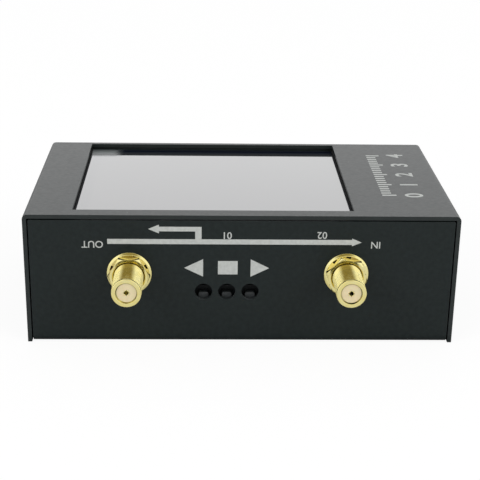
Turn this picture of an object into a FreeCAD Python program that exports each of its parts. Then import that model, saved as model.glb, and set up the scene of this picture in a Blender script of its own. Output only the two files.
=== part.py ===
"""Antenna analyzer: a two-port radio instrument in a folded sheet-metal case.

The frame is +Z up, +X along the case's width and +Y from the connector panel to the rear panel.
The origin is the centre of the case's underside. All sizes are in millimetres.
"""
import FreeCAD, Part
import math
import os

Vector = FreeCAD.Vector
RIGHT = Vector(1, 0, 0)
BACK = Vector(0, 1, 0)
FRONT = Vector(0, -1, 0)
UP = Vector(0, 0, 1)
LEFT = Vector(-1, 0, 0)

# ---- general clearances ----
slip_gap = 0.02                # between pieces that are pushed into each other
overcut = 1.0                  # how far a cutting shape runs past the surface that it cuts

# ---- driving dimensions: the case ----
case_width = 94.0
case_depth = 54.0
case_height = 29.8
sheet = 0.9                    # wall of the cover and of the base
seam = 0.3                     # gap between the base's panels and the cover
cover_bend = 1.1               # outside radius of the cover's two folds
base_bend = 1.5                # outside radius of the base's folds
panel_corner = 0.4             # rounding of the panels' top corners

# ---- the screen window, as rims of the top plate ----
window_left_rim = 10.3
window_right_rim = 22.7
window_front_rim = 3.4
window_back_rim = 1.25
window_corner = 0.2

# ---- the display, which overlaps the window's edges from below ----
glass_left_overlap = 2.9
glass_right_overlap = 5.3
glass_front_overlap = 0.55
glass_back_overlap = 0.1
tape_thickness = 0.6           # between the glass and the cover
touch_thickness = 1.1
cell_thickness = 1.1
frame_floor = 1.2
frame_wall = 0.8
cell_gap = 0.1
foam_thickness = 0.5
foam_width = 6.0
foam_inset = 1.0               # foam strip's edge inside the display frame's outline
display_board_thickness = 1.0
tape_setback = 0.5             # tape's outer edges, in from the glass's edges
tape_show = 0.25               # tape's inner edge, inside the window's edge

# ---- the two coaxial connectors ----
connector_drop = 13.35         # axis below the case's top
left_connector_margin = 22.6   # from the case's left side to the axis
right_connector_margin = 24.3  # from the case's right side to the axis
thread_radius = 3.175          # 1/4-36 UNS thread, outside
barrel_reach = 11.0            # barrel in front of the panel
barrel_tip_chamfer = 0.12
barrel_groove_width = 0.5      # thread run-out between the plug's stretch and the clamping nut
barrel_groove_depth = 0.35
barrel_groove_reach = 0.15     # groove in front of the clamping nut
panel_hole_gap = 0.1           # around the barrel
mouth_radius = 2.3             # counterbore in front of the insulator
insulator_radius = 2.08
insulator_recess = 0.3
contact_radius = 0.635
contact_bore_radius = 0.47
contact_bore_depth = 3.0
contact_slit_width = 0.14
contact_slit_depth = 2.0
tail_radius = 0.38
tail_length = 3.7
connector_block_depth = 1.8    # square flange behind the panel, as wide as the barrel
leg_width = 1.0
leg_height = 1.7               # of a leg above the board
leg_length = 4.8
washer_hole_gap = 0.175        # around the barrel
washer_tooth = 0.77            # length of the washer's teeth
washer_band = 0.73             # ring outside the teeth
washer_thickness = 0.5
washer_slope_width = 0.45      # front of the washer's ring, sloping off to its edge
washer_slope_depth = 0.22
washer_slit_width = 1.0
washer_slits = 8
left_washer_turn = 25.0        # degrees, first slit
right_washer_turn = 40.0
nut_wall = 0.825               # from the barrel to a flat
nut_thickness = 1.9
nut_chamfer = 0.5
nut_mouth = 0.35               # countersink of the nut's bore
left_nut_turn = 0.0            # degrees, corner angle from +X towards +Z
right_nut_turn = 108.0

# ---- the three push buttons ----
button_pitch = 5.08
button_row_offset = -3.24      # middle button from the case's centre
button_hole_radius = 1.9
button_hole_rise = 1.7         # hole axis above the stem axis
stem_size = 2.2
stem_corner = 0.5
stem_recess = 0.3              # stem's face behind the panel's inner face
stem_drop = 4.0                # stem axis below the main board
button_travel = 0.25
stem_flange_ledge = 0.5        # flange past the stem on every side
stem_flange_thickness = 0.6
stem_nose_radius = 0.6
switch_wall = 1.0              # front wall, which the stem passes through
switch_side_wall = 0.45
switch_rear_wall = 0.8
switch_cavity_gap = 0.2        # around the stem's flange
switch_cavity_depth = 1.7
switch_foot = 1.0              # depth of the foot that reaches up to the board
switch_overhang = 0.1          # housing in front of the board's edge
dome_radius = 1.5
dome_height = 0.25
dome_sheet = 0.1

# ---- boards, standoffs and screws ----
board_thickness = 1.6
board_side_gap = 0.8           # board edge to the cover's wall
board_back_gap = 1.2           # board edge to the rear panel
standoff_side = 4.0            # from the case's outside to the standoff's axis
standoff_front = 6.5
standoff_back = 6.5
standoff_wall = 0.98           # around the threaded hole
screw_radius = 1.25            # M2.5
screw_hole_gap = 0.15          # around a screw that passes through
stud_length = 3.0              # above the main board
countersunk_radius = 2.05
countersunk_gap = 0.04
cross_width = 0.5
cross_length = 2.4
cross_depth = 0.55
pan_radius = 2.0
pan_height = 1.5
pan_edge = 0.5
display_screw_gap = 0.55       # between the screw's tip and the stud in a spacer
base_screw_length = 5.5
base_screw_end_gap = 1.9       # hole past the screw's tip

# ---- cover screws, lips and press nuts ----
cover_screw_spread = 9.0       # screw from the middle of the lip
cover_screw_height = 6.0
lip_end_margin = 5.0           # lip past its screws
lip_top_margin = 4.0           # lip above its screws
lip_notch = 1.0
nut_neck_wall = 0.63           # around the threaded hole
nut_body_ledge = 0.8           # body past the neck
nut_body_thickness = 1.6
nut_neck_gap = 0.03
cover_screw_past_nut = 0.4

# ---- rear panel: slide switch and USB-C socket ----
usb_offset = 12.0
usb_width = 8.94
usb_height = 3.26
usb_length = 7.3
usb_wall = 0.3
usb_reach = 0.1                # mouth behind the rear panel's outer face
usb_block_length = 2.4
usb_tongue_side_gap = 0.82     # tongue to the shell's inner side
usb_tongue_thickness = 0.7
usb_tongue_length = 4.4
usb_opening_gap = 0.3
slide_offset = -12.0
slide_depth = 3.6
slide_frame_sheet = 0.3
slide_end_wall = 1.43          # moulded base, each end of the carriage's pocket
slide_top_wall = 0.23          # moulded base, above and below the pocket
slide_panel_gap = 0.4
knob_width = 2.0
knob_height = 1.6
knob_reach = 1.4               # knob behind the rear panel's outer face
knob_travel = 2.0
knob_edge = 0.25
knob_gap = 0.05
carriage_side_ledge = 0.5      # carriage past the knob, left and right
carriage_top_ledge = 0.3       # carriage past the knob, above and below
carriage_depth = 1.4
slot_gap = 0.6

# ---- pieces on the main board ----
shield_length = 24.0
shield_back_gap = 1.81         # between the shields and the display socket
shield_height = 3.0
shield_sheet = 0.3
shield_corner = 0.6
shield_leg_gap = 0.8           # behind the connectors' legs
processor_size = 7.0
processor_thickness = 1.4
processor_place = (1.0, 8.0)
processor_leg = 1.0
processor_leg_width = 0.22
processor_leg_pitch = 0.5
processor_legs_per_side = 12
chip_size = 4.0
chip_thickness = 0.85
chip_place = (-0.8, -11.0)
chip_spacing = 8.0
crystal_size = (5.0, 3.2, 1.2)
crystal_place = (10.0, 8.0)
inductor_size = 5.0
inductor_height = 3.0
inductor_corner = 1.0
inductor_place = (24.0, 12.0)
inductor_core_radius = 1.9
capacitor_size = (1.6, 0.8, 0.8)
capacitor_ring = 7.5
capacitor_count = 10
solder_gap = 0.05              # what stands on a board clears it by this much

# ---- display plug and ribbon ----
pin_pitch = 2.54
pins_per_row = 7
pin_rows = 2
pin_width = 0.64
pin_hole_gap = 0.1             # around a pin in its socket
pin_board_gap = 0.05           # around a pin's corners in the board
socket_floor = 1.0
pin_end_gap = 0.85             # pin's end above the socket's floor
header_strip_height = 1.7
header_from_left = 13.0        # from the case's left side to the strip's axis
header_y = 10.0
ribbon_width = 20.0
ribbon_thickness = 0.15
ribbon_bend = 1.0
ribbon_reach = 2.5             # out past the glass
ribbon_entry = 2.0             # inside its connector
ribbon_slot_gap = 0.7          # around the ribbon in the board's slot
ribbon_side_gap = 0.15         # beside the ribbon in its connector
ribbon_end_gap = 0.3           # past the ribbon's end in its connector
ribbon_notch_gap = 0.5         # beside the ribbon in the display frame's wall
ribbon_connector_depth = 5.5
ribbon_connector_height = 2.1
ribbon_connector_setback = 4.0 # connector's mouth, in from the ribbon's fold
ribbon_connector_margin = 1.5
ribbon_connector_slot = 0.3

# ---- battery ----
battery_left_margin = 15.0     # from the case's left side
battery_right_margin = 35.0
battery_panel_margin = 10.0    # from the outside of each panel
battery_thickness = 6.5
battery_edge = 1.4
battery_tape_inset = 5.0
battery_tape_thickness = 0.3
battery_board_thickness = 1.0
battery_board_width = 20.0
battery_board_height = 4.0
battery_board_rise = 1.0
wire_radius = 0.6
wire_spread = 1.0              # each wire from the middle
wire_run_out = 6.0
wire_run_over = 5.0
wire_run_in = 6.0
plug_length = 6.0
plug_width = 5.6
plug_height = 3.4
plug_entry = 4.0               # inside the header
plug_gap = 0.06                # around the plug in its header
plug_end_gap = 0.2             # past the plug's end in its header
plug_wire_depth = 2.0
header_wall = 0.7
header_length = 6.5

# ---- places worked out from the sizes above ----
half_width = case_width / 2
half_depth = case_depth / 2
panel_half_width = half_width - sheet - seam
panel_top = case_height - sheet - seam
panel_back_of_front = -half_depth + sheet        # inner face of the connector panel
panel_front_of_rear = half_depth - sheet         # inner face of the rear panel

connector_height = case_height - connector_drop
left_connector_x = -half_width + left_connector_margin
right_connector_x = half_width - right_connector_margin
connector_block = 2 * thread_radius
barrel_bore_radius = insulator_radius + slip_gap
washer_hole_radius = thread_radius + washer_hole_gap
washer_slit_radius = washer_hole_radius + washer_tooth
washer_radius = washer_slit_radius + washer_band
nut_bore_radius = thread_radius + slip_gap
nut_across_flats = 2 * (thread_radius + nut_wall)
board_top = connector_height - tail_radius - slip_gap
board_bottom = board_top - board_thickness
board_half_width = half_width - sheet - board_side_gap
board_front = panel_back_of_front + connector_block_depth
board_back = panel_front_of_rear - board_back_gap

window_left = -half_width + window_left_rim
window_right = half_width - window_right_rim
window_front = -half_depth + window_front_rim
window_back = half_depth - window_back_rim
glass_left = window_left - glass_left_overlap
glass_right = window_right + glass_right_overlap
glass_front = window_front - glass_front_overlap
glass_back = window_back + glass_back_overlap
glass_top = case_height - sheet - tape_thickness
glass_underside = glass_top - touch_thickness
frame_underside = glass_underside - cell_thickness - frame_floor
display_board_top = frame_underside - foam_thickness
display_board_bottom = display_board_top - display_board_thickness

thread_hole_radius = screw_radius + slip_gap
screw_clearance_radius = screw_radius + screw_hole_gap
standoff_across_flats = 2 * (thread_hole_radius + standoff_wall)
nut_neck_radius = thread_hole_radius + nut_neck_wall
nut_body_radius = nut_neck_radius + nut_body_ledge
lip_half_length = cover_screw_spread + lip_end_margin
lip_height = cover_screw_height + lip_top_margin
standoff_places = [(x, y) for x in (-half_width + standoff_side, half_width - standoff_side)
                   for y in (-half_depth + standoff_front, half_depth - standoff_back)]
stem_z = board_bottom - stem_drop
button_hole_z = stem_z + button_hole_rise
button_places = {"left": button_row_offset - button_pitch,
                 "middle": button_row_offset,
                 "right": button_row_offset + button_pitch}
stem_face_y = panel_back_of_front + stem_recess
stem_flange = stem_size + 2 * stem_flange_ledge
switch_cavity = stem_flange + 2 * switch_cavity_gap
switch_size = switch_cavity + 2 * switch_side_wall
switch_depth = switch_wall + switch_cavity_depth + switch_rear_wall
switch_front_y = board_front - switch_overhang
lip_face = panel_half_width                      # outer face of a lip
carriage_width = knob_width + 2 * carriage_side_ledge
carriage_height = knob_height + 2 * carriage_top_ledge
pocket_width = carriage_width + knob_travel + 2 * knob_gap
slide_width = pocket_width + 2 * (slide_end_wall + slip_gap + slide_frame_sheet)
slide_height = carriage_height + 2 * (knob_gap + slide_top_wall + slip_gap + slide_frame_sheet)
slide_z = board_top + slide_height / 2
slide_back_y = panel_front_of_rear - slide_panel_gap
usb_z = board_top + usb_height / 2
usb_mouth_y = half_depth - usb_reach


# ---- shapes that several pieces use ----
def block(x, y, z):
    """A box from its (low, high) pairs."""
    return Part.makeBox(x[1] - x[0], y[1] - y[0], z[1] - z[0], Vector(x[0], y[0], z[0]))


def around(middle, size):
    """The (low, high) pair of a size centred on a middle."""
    return (middle - size / 2, middle + size / 2)


def rod(start, direction, radius, length):
    return Part.makeCylinder(radius, length, start, direction)


def stand(shape, place, direction):
    """Move a shape built along +Z from the origin so that it starts at place and points along direction."""
    shape.Placement = FreeCAD.Placement(place, FreeCAD.Rotation(UP, direction))
    return shape


def edges_along(shape, direction, keep=lambda middle: True):
    """The straight edges of a shape that run along a direction and whose midpoint passes keep."""
    found = []
    for edge in shape.Edges:
        if not isinstance(edge.Curve, Part.Line):
            continue
        run = edge.Vertexes[-1].Point.sub(edge.Vertexes[0].Point)
        if run.Length > 0 and abs(abs(run.normalize().dot(direction)) - 1) < 1e-6:
            if keep(edge.CenterOfMass):
                found.append(edge)
    return found


def rounded_block(x, y, z, radius, direction, keep=lambda middle: True):
    """A box with the edges along one direction rounded."""
    shape = block(x, y, z)
    return shape.makeFillet(radius, edges_along(shape, direction, keep))


def obround(x, z, width, height, y):
    """A flat-sided oval bar along Y, centred on x and z."""
    straight = (width - height) / 2
    bar = block((x - straight, x + straight), y, around(z, height))
    for side in (-straight, straight):
        bar = bar.fuse(rod(Vector(x + side, y[0], z), BACK, height / 2, y[1] - y[0]))
    return bar.removeSplitter()


def hexagon(across_flats, length, turn=0.0):
    """A hexagonal bar along +Z with a corner at the angle turn from +X."""
    radius = across_flats / math.sqrt(3)
    angles = [math.radians(turn + 60 * corner) for corner in range(7)]
    outline = [Vector(radius * math.cos(angle), radius * math.sin(angle), 0) for angle in angles]
    return Part.Face(Part.makePolygon(outline)).extrude(Vector(0, 0, length))


def cross_recess():
    """The cross-shaped cut of a screw head, down from z = 0."""
    bars = [block(around(0, cross_length), around(0, cross_width), (0, cross_depth)),
            block(around(0, cross_width), around(0, cross_length), (0, cross_depth))]
    return bars[0].fuse(bars[1])


def countersunk_screw(length):
    """A flat-head screw along +Z, its head flush with z = 0."""
    cone_depth = countersunk_radius - screw_radius
    head = Part.makeCone(countersunk_radius, screw_radius, cone_depth)
    shank = rod(Vector(0, 0, 0), UP, screw_radius, length)
    return head.fuse(shank).removeSplitter().cut(cross_recess())


def countersink(depth):
    """The hole for a flat-head screw along +Z, from z = 0."""
    cone_depth = countersunk_radius - screw_radius
    cone = Part.makeCone(countersunk_radius + countersunk_gap, screw_radius + countersunk_gap, cone_depth)
    return cone.fuse(rod(Vector(0, 0, -overcut), UP, screw_clearance_radius, depth + overcut))


def pan_screw(length):
    """A pan-head screw along -Z: its head stands on z = 0."""
    head = rod(Vector(0, 0, 0), UP, pan_radius, pan_height)
    rim = [edge for edge in head.Edges if isinstance(edge.Curve, Part.Circle)
           and abs(edge.CenterOfMass.z - pan_height) < 1e-6]
    head = head.makeFillet(pan_edge, rim)
    recess = cross_recess()
    recess.translate(Vector(0, 0, pan_height - cross_depth))
    return head.fuse(rod(Vector(0, 0, -length), UP, screw_radius, length)).cut(recess)


def save(node, *solids):
    """Write one node's solids to its STEP file."""
    shape = solids[0] if len(solids) == 1 else Part.makeCompound(list(solids))
    if not shape.isValid() or len(shape.Solids) != len(solids):
        raise ValueError(node + " is not " + str(len(solids)) + " valid solids")
    shape.exportStep("parts/" + node + ".step")


# ---- the case ----
def cover_screw_places():
    """(place on the cover's outer face, direction into the case) of each cover screw."""
    places = []
    for side, inwards in ((-half_width, RIGHT), (half_width, LEFT)):
        for y in (-cover_screw_spread, cover_screw_spread):
            places.append((Vector(side, y, cover_screw_height), inwards))
    return places


def make_cover():
    """Top plate with the screen window, folded down into a left and a right wall."""
    outside = rounded_block((-half_width, half_width), (-half_depth, half_depth), (0, case_height),
                            cover_bend, BACK, lambda middle: middle.z > case_height / 2)
    inner_half = half_width - sheet
    inside = rounded_block((-inner_half, inner_half), (-half_depth - overcut, half_depth + overcut),
                           (-case_height, case_height - sheet),
                           cover_bend - sheet, BACK, lambda middle: middle.z > 0)
    window = rounded_block((window_left, window_right), (window_front, window_back),
                           (case_height - 2 * sheet, case_height + overcut), window_corner, UP)
    cover = outside.cut(inside).cut(window)
    for place, inwards in cover_screw_places():
        cover = cover.cut(stand(countersink(2 * sheet), place, inwards))
    return cover


def make_base():
    """Bottom plate folded up into the connector panel, the rear panel and two short side lips."""
    outside = rounded_block((-panel_half_width, panel_half_width), (-half_depth, half_depth),
                            (0, panel_top), base_bend, RIGHT, lambda middle: middle.z < panel_top / 2)
    inside = rounded_block((-panel_half_width - overcut, panel_half_width + overcut),
                           (-half_depth + sheet, half_depth - sheet), (sheet, panel_top + sheet),
                           base_bend - sheet, RIGHT, lambda middle: middle.z < panel_top / 2)
    base = outside.cut(inside)
    top_corners = edges_along(base, BACK, lambda middle: abs(middle.z - panel_top) < 1e-6)
    base = base.makeFillet(panel_corner, top_corners)
    lip_span = (-lip_half_length, lip_half_length)
    folded = rounded_block((-lip_face, lip_face), lip_span, (0, lip_height),
                           base_bend, BACK, lambda middle: middle.z < lip_height / 2)
    hollow = rounded_block((-lip_face + sheet, lip_face - sheet),
                           (-lip_half_length - overcut, lip_half_length + overcut),
                           (sheet, lip_height + sheet),
                           base_bend - sheet, BACK, lambda middle: middle.z < lip_height / 2)
    base = base.cut(block((-half_width, half_width), lip_span, (-overcut, 2 * sheet)))
    base = base.fuse(folded.cut(hollow)).removeSplitter()
    for side in (-1, 1):
        for end in (-1, 1):
            notch_y = sorted((end * lip_half_length, end * (lip_half_length + lip_notch)))
            notch_x = sorted((side * (lip_face - base_bend), side * (lip_face + overcut)))
            base = base.cut(block(notch_x, notch_y, (-overcut, 2 * sheet)))
    through = (-half_depth - overcut, -half_depth + sheet + overcut)
    for x in (left_connector_x, right_connector_x):
        base = base.cut(rod(Vector(x, through[0], connector_height), BACK,
                            thread_radius + panel_hole_gap, through[1] - through[0]))
    for x in button_places.values():
        base = base.cut(rod(Vector(x, through[0], button_hole_z), BACK,
                            button_hole_radius, through[1] - through[0]))
    rear = (half_depth - sheet - overcut, half_depth + overcut)
    base = base.cut(obround(usb_offset, usb_z, usb_width + 2 * usb_opening_gap,
                            usb_height + 2 * usb_opening_gap, rear))
    slot_length = knob_width + knob_travel + 2 * slot_gap
    slot_x = slide_offset + knob_travel / 2
    base = base.cut(rounded_block(around(slot_x, slot_length), rear,
                                  around(slide_z, knob_height + 2 * slot_gap), slot_gap, BACK))
    for x, y in standoff_places:
        base = base.cut(stand(countersink(2 * sheet), Vector(x, y, 0), UP))
    for place, inwards in cover_screw_places():
        base = base.cut(rod(place, inwards, nut_neck_radius + nut_neck_gap, sheet + seam + 2 * sheet))
    return base


def make_cover_screw(place, inwards):
    length = sheet + seam + sheet + nut_body_thickness + cover_screw_past_nut
    return stand(countersunk_screw(length), place, inwards)


def make_lip_nut(place, inwards):
    """A round press nut: its neck fills the lip's hole and its body lies on the lip's inner face."""
    neck = rod(Vector(0, 0, sheet + seam), UP, nut_neck_radius, sheet)
    body = rod(Vector(0, 0, 2 * sheet + seam), UP, nut_body_radius, nut_body_thickness)
    hole = rod(Vector(0, 0, 0), UP, thread_hole_radius, case_height)
    return stand(neck.fuse(body).cut(hole), place, inwards)


# ---- standoffs and screws between the base, the main board and the display board ----
def make_lower_standoff(x, y):
    body = hexagon(standoff_across_flats, board_bottom - sheet, 90)
    stud = rod(Vector(0, 0, board_bottom - sheet), UP, screw_radius, board_thickness + stud_length)
    hole = rod(Vector(0, 0, 0), UP, thread_hole_radius, base_screw_length - sheet + base_screw_end_gap)
    return stand(body.fuse(stud).cut(hole), Vector(x, y, sheet), UP)


def make_upper_spacer(x, y):
    length = display_board_bottom - board_top
    body = hexagon(standoff_across_flats, length, 90)
    hole = rod(Vector(0, 0, 0), UP, thread_hole_radius, length)
    return stand(body.cut(hole), Vector(x, y, board_top), UP)


def make_base_screw(x, y):
    return stand(countersunk_screw(base_screw_length), Vector(x, y, 0), UP)


def make_display_screw(x, y):
    reach = display_board_top - board_top - stud_length - display_screw_gap
    screw = pan_screw(reach)
    return stand(screw, Vector(x, y, display_board_top), UP)


# ---- the display ----
def make_touch_glass():
    return block((glass_left, glass_right), (glass_front, glass_back), (glass_underside, glass_top))


def make_window_tape():
    """One strip of tape each side of the window, between the glass and the cover."""
    span = (glass_front + tape_setback, glass_back - tape_setback)
    height = (glass_top, glass_top + tape_thickness)
    return [block((glass_left + tape_setback, window_left + tape_show), span, height),
            block((window_right - tape_show, glass_right - tape_setback), span, height)]


def cell_span():
    """The LCD cell's (low, high) along X and along Y, inside the frame's walls."""
    inset = frame_wall + cell_gap
    return (glass_left + inset, glass_right - inset), (glass_front + inset, glass_back - inset)


def make_lcd_cell():
    x, y = cell_span()
    return block(x, y, (glass_underside - cell_thickness, glass_underside))


def make_lcd_frame():
    """Shallow tray that holds the cell and the backlight, with a gap in its wall for the ribbon."""
    tray = block((glass_left, glass_right), (glass_front, glass_back), (frame_underside, glass_underside))
    inner_x = (glass_left + frame_wall, glass_right - frame_wall)
    inner_y = (glass_front + frame_wall, glass_back - frame_wall)
    floor = frame_underside + frame_floor
    tray = tray.cut(block(inner_x, inner_y, (floor, glass_underside + overcut)))
    notch = block((glass_right - 2 * frame_wall, glass_right + overcut),
                  around(0, ribbon_width + 2 * ribbon_notch_gap), (floor, glass_underside + overcut))
    return tray.cut(notch)


def make_display_tape():
    """Two strips of foam tape between the display's frame and its board."""
    height = (display_board_top, frame_underside)
    span = (glass_front + foam_width, glass_back - foam_width)
    left = glass_left + foam_inset
    right = glass_right - foam_inset
    return [block((left, left + foam_width), span, height),
            block((right - foam_width, right), span, height)]


def ribbon_fold_x():
    return glass_right + ribbon_reach


def header_x():
    return -half_width + header_from_left


def pin_places():
    places = []
    for row in range(pin_rows):
        for column in range(pins_per_row):
            places.append((header_x() + (row - (pin_rows - 1) / 2) * pin_pitch,
                           header_y + (column - (pins_per_row - 1) / 2) * pin_pitch))
    return places


def make_display_board():
    board = block((-board_half_width, board_half_width), (board_front, board_back),
                  (display_board_bottom, display_board_top))
    for x, y in standoff_places:
        board = board.cut(rod(Vector(x, y, 0), UP, screw_clearance_radius, case_height))
    pin_hole_radius = pin_width / math.sqrt(2) + pin_board_gap
    for x, y in pin_places():
        board = board.cut(rod(Vector(x, y, 0), UP, pin_hole_radius, case_height))
    slot = block((ribbon_fold_x() - ribbon_slot_gap - ribbon_thickness, ribbon_fold_x() + ribbon_slot_gap),
                 around(0, ribbon_width + 2 * ribbon_slot_gap), (0, case_height))
    return board.cut(slot)


def ribbon_heights():
    """Middle heights of the ribbon's upper and lower run."""
    return glass_underside - cell_thickness / 2, display_board_bottom - ribbon_connector_height / 2


def make_display_ribbon():
    """Flat cable from the LCD cell's end, folded through the board's slot into its connector."""
    upper, lower = ribbon_heights()
    half = ribbon_thickness / 2
    span = around(0, ribbon_width)
    connector_mouth = ribbon_fold_x() - ribbon_connector_setback
    left = connector_mouth - 2 * ribbon_entry
    wider = around(0, ribbon_width + 2 * overcut)
    outside = rounded_block((left, ribbon_fold_x()), span, (lower - half, upper + half),
                            ribbon_bend, BACK, lambda middle: middle.x > connector_mouth)
    inside = rounded_block((left - overcut, ribbon_fold_x() - ribbon_thickness), wider,
                           (lower + half, upper - half),
                           ribbon_bend - ribbon_thickness, BACK, lambda middle: middle.x > connector_mouth)
    fold = outside.cut(inside)
    cell_end = cell_span()[0][1]
    fold = fold.cut(block((left - overcut, cell_end), wider, (display_board_top, case_height)))
    return fold.cut(block((left - overcut, connector_mouth - ribbon_entry), wider, (0, display_board_top)))


def make_ribbon_connector():
    mouth = ribbon_fold_x() - ribbon_connector_setback
    height = (display_board_bottom - ribbon_connector_height, display_board_bottom)
    half_length = ribbon_width / 2 + ribbon_connector_margin
    body = block((mouth - ribbon_connector_depth, mouth), (-half_length, half_length), height)
    slot = block((mouth - ribbon_entry - ribbon_end_gap, mouth + overcut),
                 around(0, ribbon_width + 2 * ribbon_side_gap),
                 around(ribbon_heights()[1], ribbon_connector_slot))
    return body.cut(slot)


def header_outline():
    return (around(header_x(), pin_rows * pin_pitch), around(header_y, pins_per_row * pin_pitch))


def make_display_header():
    x, y = header_outline()
    strip = block(x, y, (display_board_bottom - header_strip_height, display_board_bottom))
    for px, py in pin_places():
        strip = strip.cut(block(around(px, pin_width), around(py, pin_width), (0, case_height)))
    return strip


def make_display_socket():
    x, y = header_outline()
    strip = block(x, y, (board_top, display_board_bottom - header_strip_height))
    hole = pin_width + 2 * pin_hole_gap
    for px, py in pin_places():
        strip = strip.cut(block(around(px, hole), around(py, hole),
                                (board_top + socket_floor, case_height)))
    return strip


def make_display_pins():
    low = board_top + socket_floor + pin_end_gap
    return [block(around(px, pin_width), around(py, pin_width), (low, display_board_top))
            for px, py in pin_places()]


# ---- the main board and what stands on it ----
def make_main_board():
    board = block((-board_half_width, board_half_width), (board_front, board_back),
                  (board_bottom, board_top))
    for x, y in standoff_places:
        board = board.cut(rod(Vector(x, y, 0), UP, screw_clearance_radius, case_height))
    return board


def on_board(x, y, size_x, size_y, height):
    """A box that stands on the main board."""
    low = board_top + solder_gap
    return block(around(x, size_x), around(y, size_y), (low, low + height))


def make_processor_chip():
    x, y = processor_place
    return on_board(x, y, processor_size, processor_size, processor_thickness)


def make_processor_legs():
    """A row of flat legs along each side of the processor."""
    legs = []
    x, y = processor_place
    reach = processor_size / 2 + processor_leg / 2
    for side in range(4):
        for index in range(processor_legs_per_side):
            along = (index - (processor_legs_per_side - 1) / 2) * processor_leg_pitch
            leg = block(around(reach, processor_leg), around(along, processor_leg_width),
                        (board_top, board_top + processor_leg_width))
            leg.rotate(Vector(0, 0, 0), UP, 90 * side)
            leg.translate(Vector(x, y, 0))
            legs.append(leg)
    return legs


def make_synthesizer_chips():
    x, y = chip_place
    return [on_board(x, place, chip_size, chip_size, chip_thickness) for place in (y, y + chip_spacing)]


def make_shield(x):
    """A tin can over one port's radio circuit, open at the board."""
    front = board_front + leg_length + shield_leg_gap
    back = header_y - pins_per_row * pin_pitch / 2 - shield_back_gap
    span_x = around(x, shield_length)
    can = rounded_block(span_x, (front, back),
                        (board_top, board_top + shield_height), shield_corner, UP)
    hollow = block((span_x[0] + shield_sheet, span_x[1] - shield_sheet),
                   (front + shield_sheet, back - shield_sheet),
                   (board_top - overcut, board_top + shield_height - shield_sheet))
    return can.cut(hollow)


def make_crystal():
    x, y = crystal_place
    return on_board(x, y, *crystal_size)


def make_power_inductor():
    x, y = inductor_place
    coil = on_board(x, y, inductor_size, inductor_size, inductor_height)
    coil = coil.makeFillet(inductor_corner, edges_along(coil, UP))
    ring_height = inductor_height / 3
    low = board_top + solder_gap + ring_height
    ring = block(around(x, 2 * inductor_size), around(y, 2 * inductor_size), (low, low + ring_height))
    ring = ring.cut(rod(Vector(x, y, low), UP, inductor_core_radius, ring_height))
    return coil.cut(ring)


def make_board_capacitors():
    """Small capacitors in a ring around the processor."""
    parts = []
    x, y = processor_place
    for index in range(capacitor_count):
        angle = math.radians(360 * (index + 0.5) / capacitor_count)
        parts.append(on_board(x + capacitor_ring * math.cos(angle),
                              y + capacitor_ring * math.sin(angle), *capacitor_size))
    return parts


# ---- the push buttons ----
def make_switch_body(x):
    """Side-acting switch housing that hangs under the main board's front edge."""
    back = switch_front_y + switch_depth
    body = block(around(x, switch_size), (switch_front_y, back), around(stem_z, switch_size))
    cavity_front = switch_front_y + switch_wall
    cavity = block(around(x, switch_cavity), (cavity_front, cavity_front + switch_cavity_depth),
                   around(stem_z, switch_cavity))
    hole = stem_size + 2 * knob_gap
    opening = block(around(x, hole), (switch_front_y - overcut, cavity_front + overcut),
                    around(stem_z, hole))
    foot = block(around(x, switch_size), (back - switch_foot, back), (stem_z, board_bottom))
    return body.fuse(foot).cut(cavity).cut(opening).removeSplitter()


def make_switch_dome(x):
    """Snap dome on the switch's rear wall."""
    base_y = switch_front_y + switch_wall + switch_cavity_depth
    sphere = (dome_radius ** 2 + dome_height ** 2) / (2 * dome_height)
    centre = Vector(x, base_y + sphere - dome_height, stem_z)
    shell = Part.makeSphere(sphere, centre).cut(Part.makeSphere(sphere - dome_sheet, centre))
    kept = rod(Vector(x, base_y - 2 * dome_height, stem_z), BACK, dome_radius, 2 * dome_height)
    return shell.common(kept)


def make_button(x):
    """Square stem with a flange that keeps it in its switch and a nose that presses the dome."""
    flange_y = switch_front_y + switch_wall + knob_gap
    nose_root = flange_y + stem_flange_thickness
    stem = rounded_block(around(x, stem_size), (stem_face_y, nose_root), around(stem_z, stem_size),
                         stem_corner, BACK)
    flange = block(around(x, stem_flange), (flange_y, nose_root), around(stem_z, stem_flange))
    dome_top = switch_front_y + switch_wall + switch_cavity_depth - dome_height
    nose_tip = dome_top - button_travel - knob_gap
    nose = rod(Vector(x, nose_root, stem_z), BACK, stem_nose_radius, nose_tip - nose_root)
    return stem.fuse(flange).fuse(nose).removeSplitter()


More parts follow.
